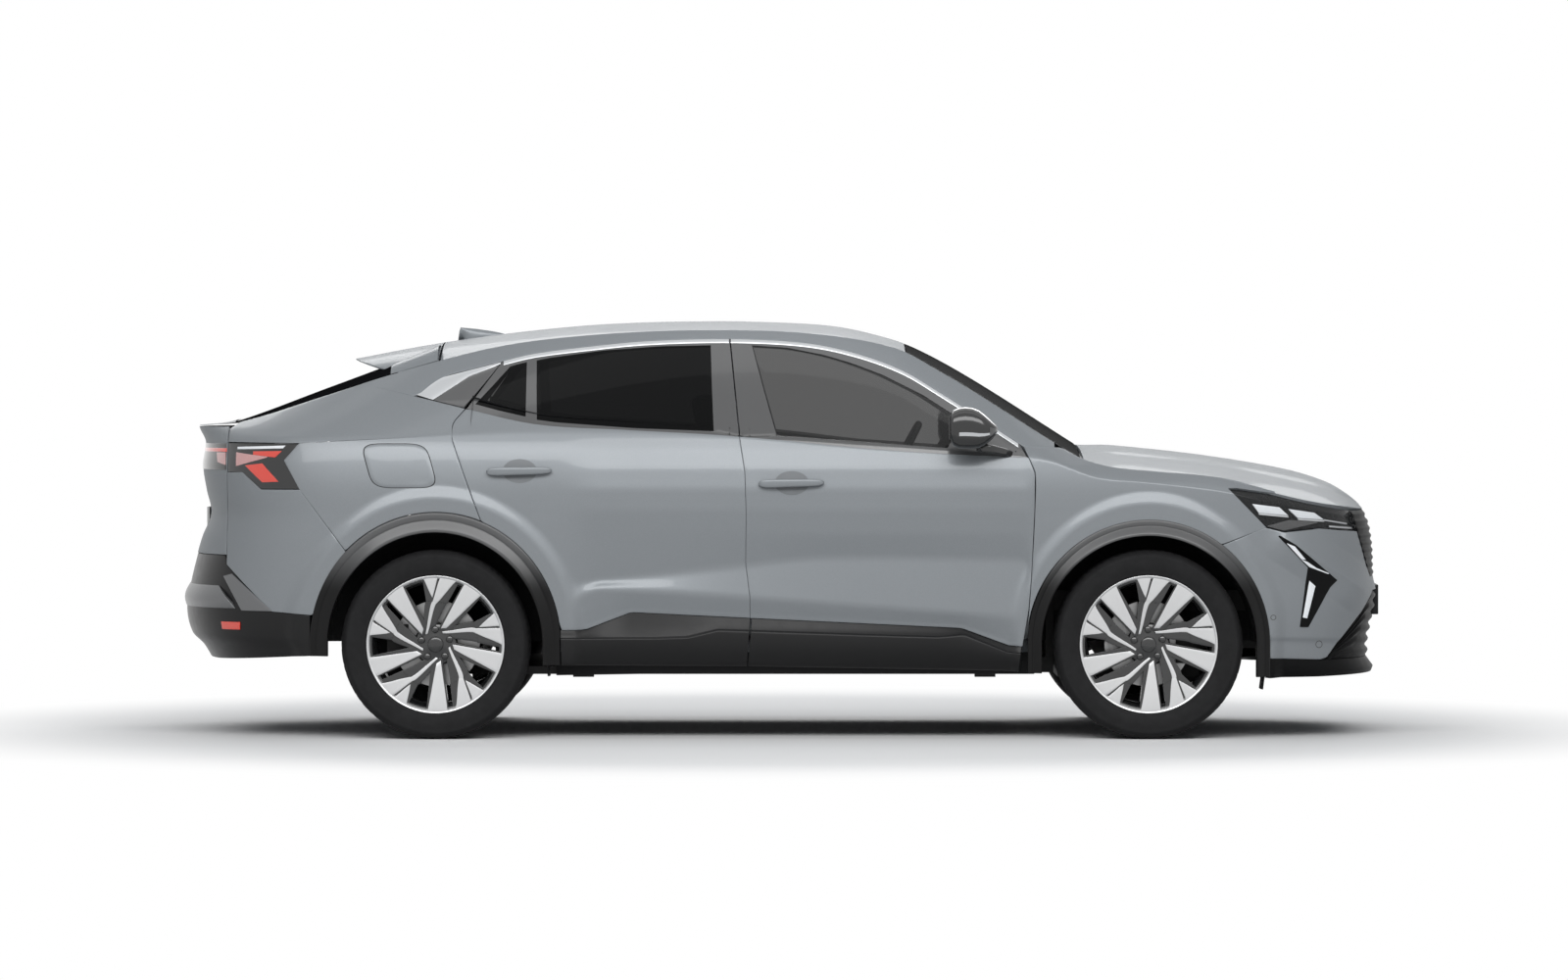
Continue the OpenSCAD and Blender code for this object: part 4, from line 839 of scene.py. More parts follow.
def cladding_strip(low_x, high_x, n=100):
    """A moulding along a door: its face leans out from the lower edge to the ledge, and a second face leans
    back from the ledge to the upper edge. Its ends slant from low_x at the bottom to high_x at the top."""
    a, b = np.linspace(*low_x, n), np.linspace(*high_x, n)
    low, ledge, high = (straight(t, b) for t in (sill_line, ledge_line, cladding_line))
    below = ((0, 2), (0.03, 6), (0.1, 8), (0.5, 9), (0.94, 10.5), (0.98, 10), (1.0, 8))
    above = ((0.05, 4), (0.1, 3), (0.5, 0), (0.94, -4), (1.0, -5))
    rows = [(low + (ledge - low) * s, proud) for s, proud in below]
    rows += [(ledge + (high - 1 - ledge) * s, proud) for s, proud in above]
    grid = []
    for z, proud in rows:
        x = a + (b - a) * (z - low) / (high - low)
        grid.append(skin(around(x, z), z, -proud))
    return folded(np.stack(grid), "btrf", 10, 1.0)


satin_black = finish(
    "satin_black_plastic", (0.009, 0.009, 0.0095), 0.32, 0.0, {"Specular IOR Level": 0.25}, lambda place: {
        "Roughness": 0.27 + 0.12 * noise(place, 25.0),
        "Normal": bump(noise(place, 800.0), 0.08, 0.0003)})
pair("front_sill_cladding_{}", [cladding_strip((-137, 898), (-122, 910))], satin_black, "door_front_{}",
     "black_plastic", "front_cladding_{}")
pair("rear_sill_cladding_{}", [cladding_strip((-852, -144), (-856, -131))], satin_black, "door_rear_{}",
     "black_plastic", "rear_cladding_{}")


def arch_moulding(which, foot_front, foot_rear):
    """The band around a wheel opening: a half ellipse with straight feet. Its inner face is dished towards
    the wheel and its outer rim is flat, and the inner edge turns in over the tyre."""
    x, rx, rz, ix, iz = ARCH[which]
    a = np.radians(np.linspace(0, 180, 140))
    foot = np.linspace(0, 1, 12)[:, None]
    share = [0.0, 0.02, 0.05, 0.2, 0.4, 0.58, 0.63, 0.66, 0.70, 0.8, 0.92, 0.97, 1.0]
    proud = [17, 20.5, 21.5, 17, 10.5, 4.5, 3, 4.5, 5.5, 5, 4.5, 3, 0.5]
    rows = []
    for s, p in zip(share, proud):
        ax, az = ix + (rx - ix) * s, iz + (rz - iz) * s
        arc = np.stack([x + ax * np.cos(a), WHEEL_Z + az * np.sin(a)], 1)
        down_f = np.array([x + ax, foot_front]) + (arc[0] - [x + ax, foot_front]) * foot
        down_r = arc[-1] + (np.array([x - ax, foot_rear]) - arc[-1]) * foot
        line = np.concatenate([down_f[:-1], arc, down_r[1:]])
        rows.append(skin(around(line[:, 0], line[:, 1]), line[:, 1], -p))
    P = np.stack(rows)
    return np.concatenate([P[:1] - [0, 45, 0], P])[:, ::-1]


def arch_painted_highlight(place):
    """Satin plastic, dark down each arch's legs, with a painted highlight over its top, set by height."""
    height = place.node("ShaderNodeSeparateXYZ", {}, {0: place}, "Z")
    painted_highlight = place.node("ShaderNodeMapRange", {"interpolation_type": "SMOOTHSTEP"},
                     {"Value": height, "From Min": 0.56, "From Max": 0.76}, "Result")
    return {"Base Color": blend(painted_highlight, (0.004, 0.004, 0.0042), (0.1, 0.101, 0.103)), "Coat Weight": 0.6 * painted_highlight,
            "Roughness": 0.28 + 0.08 * noise(place, 60.0)}


# The arch bands' paler tops are a painted highlight, set by height in the material.
arch_plastic_painted_top = finish("satin_arch_plastic_painted_highlight", (0.008, 0.008, 0.0085), 0.3, 0.0,
                    {"Specular IOR Level": 0.2, "Coat Roughness": 0.2}, arch_painted_highlight)
bands = [arch_moulding("front", 240, 255), arch_moulding("rear", 286, 320)]
pair("arch_band_{}", bands, arch_plastic_painted_top, "body", "black_plastic", "arch_cladding")
tabs = [box_run([(1838, 800, 190), (1846, 800, 250)], [(70, 5), (70, 5)]),
        box_run([(-905, 790, 240), (-912, 790, 300)], [(60, 5), (60, 5)])]
pair("wheel_deflector_{}", tabs, grained_black, "body", "black_plastic")

# Bonnet: a painted aluminium pressing hinged at the scuttle, crowned, with a raised middle between two
# soft creases that run towards the nose, and a felt liner below.

bonnet_line = [(1100, 1128), (1365, 1107), (1675, 1072), (1985, 1019), (2142, 971), (2220, 928), (2275, 886)]
q = np.concatenate([np.linspace(1154, 1480, 36)[:-1],
                    CORNER_F - 20 + (PLAIN_F * math.radians(87) + 20) * np.linspace(0, 1, 66)])
share = rail_shares(83)[::-1]
bonnet = crowned(bonnet_line, q[:, None], share[None], 2.3, 0.0, 2.0)
raised = smooth(1154, 1300, q) * (1 - smooth(2100, 2700, q))
bonnet[..., 2] += 9 * (1 - smooth(0.50, 0.66, np.abs(share)))[None] * raised[:, None]
bonnet = bonnet[::-1]
piece("bonnet_skin", [folded(bonnet, "btrf", 16, 1.2)], paint, "bonnet", ("bonnet",))
piece("bonnet_liner", [bonnet[18:-3:2, -7:6:-2] - [0, 0, 27]], felt, "bonnet")

# Nose: a painted bumper moulding round the front, with a ridge from the lamp to the plate and two parking
# sensors a side, over a black lower grille and lip. A blank plate board sits in the middle, and the upper
# grille is a black moulding of bars.


def middle_f(z):
    """Places on the middle of the nose at some heights."""
    z = np.asarray(z, float)
    return np.stack([CORNER_F + end_reach(z)[0] * math.pi / 2, z], -1)


def middle_r(z):
    """Places on the middle of the tail at some heights."""
    z = np.asarray(z, float)
    return np.stack([CORNER_R - end_reach(z)[1] * math.pi / 2, z], -1)


def to_middle(start, z_end, n):
    """A line on the skin from a point drawn from the side to the middle of the nose."""
    first = np.array([float(around(*start)), start[1]])
    return first + (middle_f(z_end) - first) * np.linspace(0, 1, n)[:, None]


def ridge(g, line, wide, high):
    """Height of a crease over a grid of places: greatest on a line seen from the side, falling evenly to
    nothing on both sides of it and towards its ends."""
    P = laid(g)[..., [0, 2]]
    a, b = np.array(line[0], float), np.array(line[1], float)
    along = (P - a) @ (b - a) / ((b - a) @ (b - a))
    off = np.linalg.norm(P - (a + np.clip(along, 0, 1)[..., None] * (b - a)), axis=-1)
    return high * np.clip(1 - off / wide, 0, 1) * smooth(-0.3, 0.2, along) * (1 - smooth(0.85, 1.2, along))


def bumper_height(g):
    """Height of the bumper over the plain skin: the crease from the lamp to the plate, less a step near the
    lower edge."""
    step = 5 * (1 - smooth(372, 392, g[..., 1] + 0.04 * (g[..., 0] - 1900)))
    return ridge(g, ((1921, 770), (2245, 562)), 95, 26) - step


arch_front = arch_line("front", 0.0, 52.6, 44, 1)
bumper_rear = edge(np.concatenate([[(1868, 312)], arch_front[1:], [(1705, 754)], [(1849, 811)]]), 84)
bumper_low = edge([(1868, 312), (2070, 304), (2095, 312), (2130, 358), (2240, 484), (2292, 564)], 84)
bumper_high = edge([(1849, 811), (1920, 793), (2061, 806), (2150, 797), (2221, 792)], 84)
bumper_in = edge([(2292, 564), (2279, 612), (2221, 792)], 84)
bumper_side = patch(bumper_low, bumper_high, bumper_rear, bumper_in)
centre = patch(to_middle((2292, 564), 564, 40), to_middle((2279, 612), 612, 40),
               edge([(2292, 564), (2279, 612)], 14), middle_f(np.linspace(564, 612, 14)))
parts = [folded(across(laid(centre)), "bt", 25)]
crease = bumper_height(bumper_side)
sides = folded(laid(bumper_side, -crease), "btr", 25)
mirrored = (sides * [1, -1, 1])[:, ::-1]
piece("front_bumper_skin", parts + [sides, mirrored], paint, "body", ("front_bumper",))


def sensor(x, z, radius):
    """The thin round joint about a parking sensor in the bumper."""
    a = np.linspace(0, 2 * math.pi, 41)[None]
    r = np.array([[radius + 1.2], [radius - 1.2]])
    g = np.stack([around(x, z) + r * np.cos(a), z + r * np.sin(a)], -1)
    return laid(g, -0.8 - bumper_height(g))


pair("parking_sensors_{}", [sensor(1878, 468, 9), sensor(2062, 361, 13)], grey_trim_and_painted_reflection, "body", "black_plastic")
grille_black = finish("grille_black", (0.012, 0.0122, 0.0125), 0.4, 0.0, {"Specular IOR Level": 0.03},
                      wander(0.35, 0.12, 25.0))
lip_low = np.concatenate([edge([(1868, 236), (2063, 236), (2230, 240)], 40),
                          to_middle((2230, 240), 244, 50)[1:]])
lip_mid = np.concatenate([edge([(1868, 306), (2070, 299), (2200, 300)], 40),
                          to_middle((2200, 300), 300, 50)[1:]])
lip = patch(lip_low, lip_mid, edge([(1868, 236), (1868, 306)], 18), middle_f(np.linspace(244, 300, 18)))
swell = np.interp(np.linspace(0, 1, 18), [0, 0.3, 1], [2, 13, -16])[:, None]
swell = swell * np.linspace(0.2, 1, lip.shape[1])
mouth_low = np.concatenate([edge([(2072, 300), (2200, 302)], 30), to_middle((2200, 302), 302, 50)[1:]])
mouth_high = np.concatenate([edge([(2076, 304), (2095, 310), (2130, 356), (2240, 481), (2293, 560)], 30),
                             to_middle((2293, 560), 560, 50)[1:]])
mouth = patch(mouth_low, mouth_high, edge([(2072, 300), (2076, 304)], 40),
              middle_f(np.linspace(302, 560, 40)))
slat_wave = np.cos(2 * math.pi * np.linspace(0, 6, 40))[:, None]
slats = 10 + 8 * slat_wave * np.linspace(0.2, 1, mouth.shape[1])
lip_skin, mouth_skin = across(laid(lip, 2 - swell)), across(laid(mouth, slats))
piece("lower_grille", [folded(lip_skin, "btrf", 30), folded(mouth_skin, "btrf", 20)], grille_black, "body",
      ("front_valance",))
plate_y, plate_z = np.meshgrid(np.linspace(262, -262, 30), np.linspace(462, 572, 12))
board = np.stack([2345 - 0.00012 * plate_y**2, plate_y, plate_z], -1)
piece("front_plate_board", [folded(board, "btrf", 45, 3)], grained_black, "body")
grille_low, grille_high = to_middle((2281, 614), 614, 36), to_middle((2199, 872), 872, 36)
grille_grid = patch(grille_low, grille_high, edge([(2281, 614), (2224, 796), (2199, 872)], 60),
                    middle_f(np.linspace(614, 872, 60)))
wave = 6 * (0.5 + 0.5 * np.cos(2 * math.pi * np.linspace(0, 9, 60)))[:, None]
grille_points = laid(grille_grid, wave - 5)
piece("upper_grille", [folded(across(grille_points), "btrf", 30)],
      grille_black, "body", ("grille",))

# Headlamps and running lamps: clear lenses over dark housings with bright light strips, bonded into the
# corner between the wing, the bonnet and the bumper.

lamp_dark = finish("lamp_housing", (0.009, 0.0095, 0.01), 0.25, 0.0, {"Specular IOR Level": 0.25},
                   wander(0.2, 0.2, 50.0))
lamp_white = finish("lamp_strip", (0.80, 0.82, 0.84), 0.2, 0.0,
                    {"Emission Color": (0.9, 0.95, 1.0, 1), "Emission Strength": 0.2},
                    wander(0.15, 0.1, 80.0))
lens_clear = finish("lamp_lens", (0.2, 0.21, 0.22), 0.04, 0.0, {"Specular IOR Level": 0.3},
                    see_through(0.03, 0.4, 0.25))
lamp_high = edge(np.concatenate([[(1705, 957)], [(1740, 962)], rail_edge(1890, 2195, 30, 8)]), 80)
lamp_low = edge([(1853, 815), (1920, 797), (2061, 810), (2150, 801), (2221, 796)], 80)
bar_lines = (
    ([(1822, 870), (1937, 859)], [(1799, 903), (1903, 890)]),
    ([(1976, 849), (2082, 841)], [(1941, 883), (2043, 868)]))
frame_lines = (
    ([(1824, 862), (1939, 851)], [(1822, 868), (1937, 857)]),
    ([(1978, 841), (2084, 833)], [(1976, 847), (2082, 839)]),
    ([(2105, 812), (2204, 803)], [(2103, 818), (2202, 809)]),
    ([(2084, 837), (2181, 821)], [(2083, 842), (2181, 826)]))
arm_lines = (
    ([(1898, 778), (2014, 658)], [(1903, 783), (1965, 747), (2130, 608)]),
    ([(2018, 429), (2104, 582), (2130, 608)], [(1984, 430), (2014, 658)]))
light_lines = (
    ([(1930, 752), (1986, 692)], [(1961, 740), (2004, 689)], 20),
    ([(1989, 688), (2020, 660), (2092, 633)], [(2010, 681), (2046, 657), (2096, 635)], 24),
    ([(2012, 463), (2044, 586)], [(1996, 467), (2021, 606)], 24))
head = patch(lamp_low, lamp_high, edge([(1853, 815), (1705, 957)], 40),
             edge([(2221, 796), (2208, 840), (2195, curve(rail_line, 2195) - 8)], 40))
pair("headlamp_housing_{}", [folded(laid(head, 14), "btrf", 30)],
     lamp_dark, "body", "gloss_black", "headlamps")
bars = [ribbon(low, high, 24, 8, 5, 2.0) for low, high in bar_lines]
pair("headlamp_bars_{}", bars, lamp_white, "body", "lamp_clear")
frames = [ribbon(low, high, 24, 7, 5, 0.1) for low, high in frame_lines]
pair("headlamp_frames_{}", frames, bright, "body", "alloy")
facet = ribbon([(1858, 817), (1920, 801), (2056, 830)], [(1858, 819), (1941, 841), (2058, 833)],
               40, 9, 5, 0.0)
pair("headlamp_facet_{}", [facet], grey_trim_and_painted_reflection, "body", "gloss_black")
pair("headlamp_lens_{}", [folded(laid(head, 1), "btrf", 5)], lens_clear, "body", "lamp_clear")
arms = [ribbon(low, high, 40, -4, 7, 3.0, bumper_height) for low, high in arm_lines]
pair("running_lamp_housing_{}", arms, grille_black, "body", "gloss_black")
lights = [ribbon(low, high, n, -6, 5, 1.0, bumper_height) for low, high, n in light_lines]
pair("running_lamp_{}", lights, lamp_white, "body", "lamp_clear")

# Tailgate: a painted steel and plastic lid hinged under the roof's rear edge, with a spoiler blade, a fixed
# dark window between black ceramic side strips, a short deck with a lip, and an upright face that carries a
# blank plate board.

WINDOW_LOW, WINDOW_TOP = -2133, -1528  # ends of the rear window along the car
rear_line = [(-2355, 1199), (-2300, 1204), (-2140, 1224), (-1748, 1364), (-1338, 1519)]
tail_q = np.linspace(CORNER_R - PLAIN_R * math.radians(88), -1300, 800)
tail_x = rail_point(tail_q)[0]


def tail_rows(x0, x1, n):
    """Places q whose rail lies at n even steps of x."""
    return np.interp(np.linspace(x0, x1, n), tail_x, tail_q)


def gate_strip(q, s0, s1, cols, drop=0.0):
    """Part of the crowned rear surface between two shares of the half width, given once or for each row."""
    t = np.linspace(0, 1, cols)[None]
    share = np.reshape(s0, (-1, 1)) * (1 - t) + np.reshape(s1, (-1, 1)) * t
    return crowned(rear_line, q[:, None], share, 12.0, drop, 3.0)


def glass_share(q):
    """Share of the half width that the rear window takes."""
    x, w, _ = rail_point(q)
    half = np.interp(-x, [-WINDOW_TOP, 1978, -WINDOW_LOW], [470, 525, 535])
    return np.minimum(half / np.maximum(w - 3, 1), 0.97)


def across_tail(P):
    """A grid that starts on the middle of the tail, carried over it to the other side."""
    return np.concatenate([P[:, ::-1][:, :-1] * np.array([1, -1, 1]), P], 1)


glass_q, top_q = tail_rows(WINDOW_LOW, WINDOW_TOP, 60), tail_rows(WINDOW_TOP, -1346, 24)
deck_q = tail_rows(-2306, WINDOW_LOW, 30)
frame_grids = [gate_strip(q, -1, 1, 80) for q in (top_q, deck_q)]
beside = glass_share(glass_q)
side_strips = [gate_strip(glass_q, beside, 1, 14), gate_strip(glass_q, -1, -beside, 14)]
face_low, face_high = 706.0, 1198.0
front_z = np.linspace(face_low, face_high, 66)
face_edge = edge(np.stack([np.full(66, -2156.0), front_z], 1), 66)
t = np.linspace(0, 1, 42)[None, :, None]
face = middle_r(front_z)[:, None] * (1 - t) + face_edge[:, None] * t
face_points = across_tail(laid(face))
piece("tailgate_skin", frame_grids + [folded(face_points, "brf", 16, 1.0)],
      paint, "tailgate", ("tailgate",))
piece("tailgate_side_strips", side_strips, ceramic, "tailgate")
inner_face = across_tail(laid(face[2:-4, :-3], 34))
piece("tailgate_trim", [folded(inner_face[:, ::-1], "btrf", 20, 5)], cabin_black, "tailgate")
along, s = np.linspace(0, 1, 34)[:, None], np.linspace(-1, 1, 64)[None]
behind = -1688 + 188 * s**4
spoiler = crowned(roof_line, behind + (-1342 - behind) * along, s + 0 * along, 4.0 - 1.7 * along**2, 0.0, 4.0)
deep = np.interp(along, [0, 0.05, 0.45, 1], [3, 12, 62, 58])[..., None] * np.array([0, 0, 1])
under = spoiler - deep
rim = [np.stack([under[:, k], spoiler[:, k]]) for k in (0, -1)]
piece("spoiler_blade", [spoiler, under[:, ::-1], rim[0][::-1], rim[1], np.stack([under[0], spoiler[0]])],
      paint, "tailgate")
window = gate_strip(glass_q, -beside, beside, 70, 3.0)
piece("rear_window_glass", [folded(window, "btrf", 4, 1)],
      dark_glass, "tailgate", ("tailgate_glass",))
plate_y, plate_z = np.meshgrid(np.linspace(-260, 260, 30), np.linspace(770, 880, 12))
plate = np.stack([-2268.0 + 0 * plate_y, plate_y, plate_z], -1)
blank = finish("blank_plate", (0.72, 0.72, 0.70), 0.4, varying=wander(0.35, 0.1, 30.0))
piece("rear_plate_board", [folded(plate, "btrf", 10, 2)], blank, "tailgate")

# Rear bumper: painted side mouldings that run into a black lower valance across the tail, with a satin strip
# from the corner down to the arch, a satin lip across, and a small reflector in each corner.

rear_arch = arch_line("rear", 167.0, 135.4, 40, 1)
rear_front_edge = edge(np.concatenate([[(-1821, 478)], rear_arch, [(-1860, 957)]]), 68)
rear_side = patch(
    edge([(-2152, 668), (-1971, 490), (-1821, 478)], 60),
    edge([(-2152, 1021), (-2090, 1023), (-2013, 957), (-1860, 957)], 60),
    edge([(-2152, 668), (-2152, 1021)], 68), rear_front_edge)
side_points = folded(laid(rear_side), "btrf", 20, 1.0)
other = (side_points * [1, -1, 1])[:, ::-1]
piece("rear_bumper_skin", [side_points, other], paint, "body", ("rear_bumper",))
val_edge = edge([(-2250, 701), (-2159, 701), (-2154, 665), (-1973, 487), (-1821, 474)], 80)
val_high = spaced(np.concatenate([[middle_r(701.0)], val_edge]), 90)
val_low = spaced(np.concatenate([[middle_r(300.0)], edge([(-2200, 300), (-1821, 322)], 60)]), 90)
valance = patch(val_low, val_high, middle_r(np.linspace(300, 701, 46)),
                edge([(-1821, 322), (-1821, 474)], 46))
piece("rear_valance_skin", [folded(across_tail(laid(valance, 2)), "btrf", 40)], satin_black, "body",
      ("rear_valance",))
satin_grey = finish("satin_grey_trim", (0.16, 0.163, 0.167), 0.3, 0.6, varying=wander(0.26, 0.1, 30.0))
lamp_red = finish("red_lamp", (0.62, 0.03, 0.012), 0.14, 0.0,
                  {"Coat Weight": 1.0, "Coat Roughness": 0.02,
                   "Emission Color": (0.9, 0.05, 0.02, 1), "Emission Strength": 0.2},
                  wander(0.1, 0.1, 90.0))
lip_z = np.linspace(500, 585, 14)
lip_edge = edge(np.stack([np.interp(lip_z, [500, 585], [-2120, -2185]), lip_z], 1), 14)
t = np.linspace(0, 1, 60)[None, :, None]
lip = middle_r(lip_z)[:, None] * (1 - t) + lip_edge[:, None] * t
bulge = (12 * np.sin(math.pi * np.linspace(0.02, 0.98, 14)))[:, None]
piece("rear_satin_lip", [folded(across_tail(laid(lip, -bulge)), "btrf", 12, 2)], satin_grey, "body")
strip = ribbon([(-2165, 622), (-2090, 492)], [(-2130, 632), (-1968, 491)], 50, -3, 7, 1.0)
pair("rear_satin_strip_{}", [strip], satin_grey, "body", "alloy")
# The reflectors take the red lamp finish, so they glow faintly: painted light, as a reflector is no lamp.
reflector = ribbon([(-2170, 418), (-2098, 418)], [(-2174, 446), (-2098, 446)], 20, -2, 5, 0.5)
pair("rear_reflector_{}", [reflector], lamp_red, "body", "lamp_red")

# Tail lamps: gloss black housings bonded into the body's rear corners, with bands of red, pink and clear
# plastic, carried on across the tailgate by a dark band with a thin red line.

lamp_pink = finish("clear_lamp_band", (0.72, 0.36, 0.35), 0.15, 0.0, {"Coat Weight": 1.0}, lambda place: {
    "Base Color": blend(noise(place, 300.0), (0.62, 0.22, 0.21), (0.8, 0.5, 0.49))})
tail_grid = patch(
    edge([(-2149, 1026), (-2088, 1025), (-2013, 962), (-1860, 962)], 70),
    edge([(-2149, 1134), (-1990, 1134), (-1866, 1132)], 70),
    edge([(-2149, 1026), (-2149, 1134)], 40), edge([(-1860, 962), (-1920, 1068), (-1866, 1132)], 40))
pair("tail_lamp_housing_{}", [folded(laid(tail_grid, 1), "btrf", 20)], gloss_black, "body",
     "gloss_black", "tail_lamps")
reds = [ribbon([(-2046, 1092), (-1958, 1082)], [(-2046, 1104), (-1932, 1106)], 30, -0.5, 4, 0.0),
        ribbon([(-2008, 986), (-1944, 989)], [(-2078, 1050), (-2009, 1058)], 30, -0.5, 4, 0.0)]
pair("tail_lamp_red_{}", reds, lamp_red, "body", "lamp_red")
pinks = [ribbon([(-2116, 1048), (-1990, 1082)], [(-2116, 1100), (-2050, 1091), (-1990, 1084)],
                30, -0.5, 4, 0.0)]
pair("tail_lamp_pink_{}", pinks, lamp_pink, "body", "lamp_clear")
clear = [ribbon([(-2111, 1113), (-1928, 1117)], [(-2111, 1121), (-1918, 1127)], 30, -0.5, 4, 0.0)]
pair("tail_lamp_clear_{}", clear, lamp_white, "body", "lamp_clear")
lobe = [ribbon([(-2195, 1062), (-2162, 1052)], [(-2200, 1098), (-2162, 1099)], 20, -4.5, 4, 0.0)]
pair("tail_lamp_lobe_{}", lobe, lamp_pink, "tailgate", "lamp_clear")


def gate_band(z0, z1, t, n=12):
    """A band across the tailgate between two heights, standing proud by t."""
    z = np.linspace(z0, z1, n)
    end = edge(np.stack([np.full(n, -2160.0), z], 1), n)
    s = np.linspace(0, 1, 60)[None, :, None]
    g = middle_r(z)[:, None] * (1 - s) + end[:, None] * s
    return folded(across_tail(laid(g, -t)), "btrf", 4)


piece("tailgate_lamp_band", [gate_band(1034, 1132, 2)], gloss_black, "tailgate")
piece("tailgate_red_line", [gate_band(1104, 1114, 4, 4)], lamp_red, "tailgate")

# Fuel flap: a painted rounded flap in the right quarter panel, hinged at its front edge,
# with a thin black seal around it.


def flap_line(grow, depth):
    """The flap's outline, a leaning rounded square, drawn at some sizes and depths on the skin."""
    a = np.linspace(0, 2 * math.pi, 97)[None]
    c, s = (np.sign(f) * np.abs(f) ** 0.42 for f in (np.cos(a), np.sin(a)))
    r = np.asarray(grow, float)[:, None]
    return skin(-1476 + r * (124 * c - 24 * s), 1050 + r * 84 * s, np.asarray(depth, float)[:, None])[::-1]


piece("fuel_flap_seal", [flap_line([0.96, 1.022], [-0.3, -0.3])],
      grained_black, "body", (), -1)
piece("fuel_flap_skin", [flap_line([0, 0.3, 0.6, 0.85, 0.99, 1.0, 1.0], [-0.6] * 5 + [0, 6])],
      paint, "fuel_flap", ("fuel_flap",), -1)

# Door mirrors: gloss black shells in two halves with a bright line between them and a smoked repeater at the
# tip, on a foot at the front corner of the window, with silvered glass behind.


def pod(rows, low=0.0, high=1.0, grow=0.0, n=48, power=2.6):
    """A shell along the car: at each row (x, bottom, top, half width) a superellipse section, between two
    shares of its way round, from the inside over the top to the outside and back below."""
    x, bottom, top, wide = (np.array(c, float)[:, None] for c in zip(*rows))
    a = math.pi + 2 * math.pi * np.linspace(low, high, n + 1)[None]
    c, s = np.cos(a), -np.sin(a)
    y = 1000 + (wide + grow) * np.sign(c) * np.abs(c) ** (2 / power)
    z = (bottom + top) / 2 + ((top - bottom) / 2 + grow) * np.sign(s) * np.abs(s) ** (2 / power)
    return np.stack([x + 0 * y, y, z], -1)


mirror_rows = [(634, 1185, 1205, 12), (634, 1150, 1244, 60), (638, 1138, 1256, 67), (648, 1124, 1266, 71),
               (668, 1117, 1273, 73), (692, 1116, 1276, 73), (720, 1116, 1273, 72), (744, 1118, 1264, 70),
               (766, 1128, 1248, 66), (785, 1142, 1231, 59), (800, 1158, 1216, 50), (810, 1170, 1207, 38),
               (815, 1180, 1200, 22), (816, 1190, 1191, 2)]
mirror_glass = finish("mirror_glass", (0.8, 0.82, 0.84), 0.03, 1.0, varying=wander(0.02, 0.03, 12.0))
smoked = finish("smoked_repeater", (0.05, 0.052, 0.055), 0.08, 0.0, {"Coat Weight": 1.0},
                wander(0.08, 0.05, 60.0))
body = "door_front_{}"
foot = box_run([(868, 884, 1094), (845, 905, 1104), (800, 935, 1114), (750, 962, 1122)],
               [(12, 14), (14, 14), (20, 16), (26, 18)])
pair("mirror_shell_{}", [pod(mirror_rows), foot], gloss_black, body, "gloss_black", "mirror_{}")
pair("mirror_line_{}", [pod(mirror_rows[4:10], 0.52, 0.545, 1.2, 4)], bright, body, "alloy")
pair("mirror_repeater_{}", [pod(mirror_rows[9:13], 0.47, 0.57, 1.2, 10)], smoked, body, "gloss_black")
glass_y, glass_z = np.meshgrid(np.linspace(1, -1, 20), np.linspace(-1, 1, 20))
flat = np.stack([632.5 + 0 * glass_y, 1000 - 58 * glass_y * np.sqrt(1 - 0.3 * glass_z**2),
                 1197 + 46 * glass_z * np.sqrt(1 - 0.3 * glass_y**2)], -1)
pair("mirror_glass_{}", [flat], mirror_glass, body, "clear_glass")

# Door handles: body-colour pull bars in front of a cup painted darker than the body as the shade
# of its recess, one on each door, bolted through the skin at both ends.


def handle(x, z, length):
    """A pull bar: a flattened tube that follows the skin and stands off it in the middle."""
    along = np.linspace(-1, 1, 40)
    xs = x + along * length / 2
    zs = z + 0.02 * along * length / 2
    base = skin(xs, zs)
    stand = 16 + 8 * (1 - along**4)
    path = base + np.stack([0 * along, stand, 0 * along], 1)
    wide = np.stack([7 * np.sqrt(np.maximum(1 - along**10, 0.02)),
                     15 * np.sqrt(np.maximum(1 - along**8, 0.02)) * (1 - 0.12 * along)], 1)
    return box_run(path, wide, 24, 3.0)


def cup(x, z):
    """The cup behind a handle: an ellipse just proud of the skin, darker than the paint as painted shade."""
    r, a = np.linspace(1, 0, 9)[:, None], np.linspace(0, 2 * math.pi, 49)[None]
    return skin(x + 66 * r * np.cos(a), z + 46 * r * np.sin(a), -0.8)


# The cup's darker grey is painted shade for its recess; the real cup is body colour.
cup_shade = finish("handle_cup", (0.17, 0.18, 0.19), 0.45, 0.3, varying=wander(0.4, 0.2, 30.0))
for side, name in SIDES:
    for door, x, z in (("front", 28, 984), ("rear", -1016, 1030)):
        body = f"door_{door}_{name}"
        piece(f"{door}_handle_{name}", [handle(x, z, 252)], paint, body, (), side)
        piece(f"{door}_handle_cup_{name}", [cup(x + 2, z)], cup_shade, body, (), side)

# Wheels: black rubber tyres on cast alloy rims with machined faces over gloss black pockets, bolted to hubs
# with steel discs.


def turned(profile, n, wobble=None):
    """A profile of (radius, place across) turned about the axle; columns go round."""
    p = np.asarray(profile, float)
    a = np.linspace(0, 2 * math.pi, n + 1)[None]
    r, y = p[:, :1] + 0 * a, p[:, 1:] + 0 * a
    if wobble is not None:
        r = r + wobble(a, y)
    return np.stack([r * np.cos(a), y, r * np.sin(a)], -1)


def tread(a, y):
    """Depth of the tread pattern: four grooves round the tyre and slanted cuts across its shoulders."""
    off = np.abs(y)
    inside = 1 - smooth(104, 112, off)
    grooves = sum(np.exp(-(((y - c) / 4.0) ** 4)) for c in (-62, -21, 21, 62))
    cuts = (np.cos(70 * a + 0.05 * off) > 0.72) * smooth(66, 74, off) * inside
    return -(7 * grooves + 4 * cuts) * inside


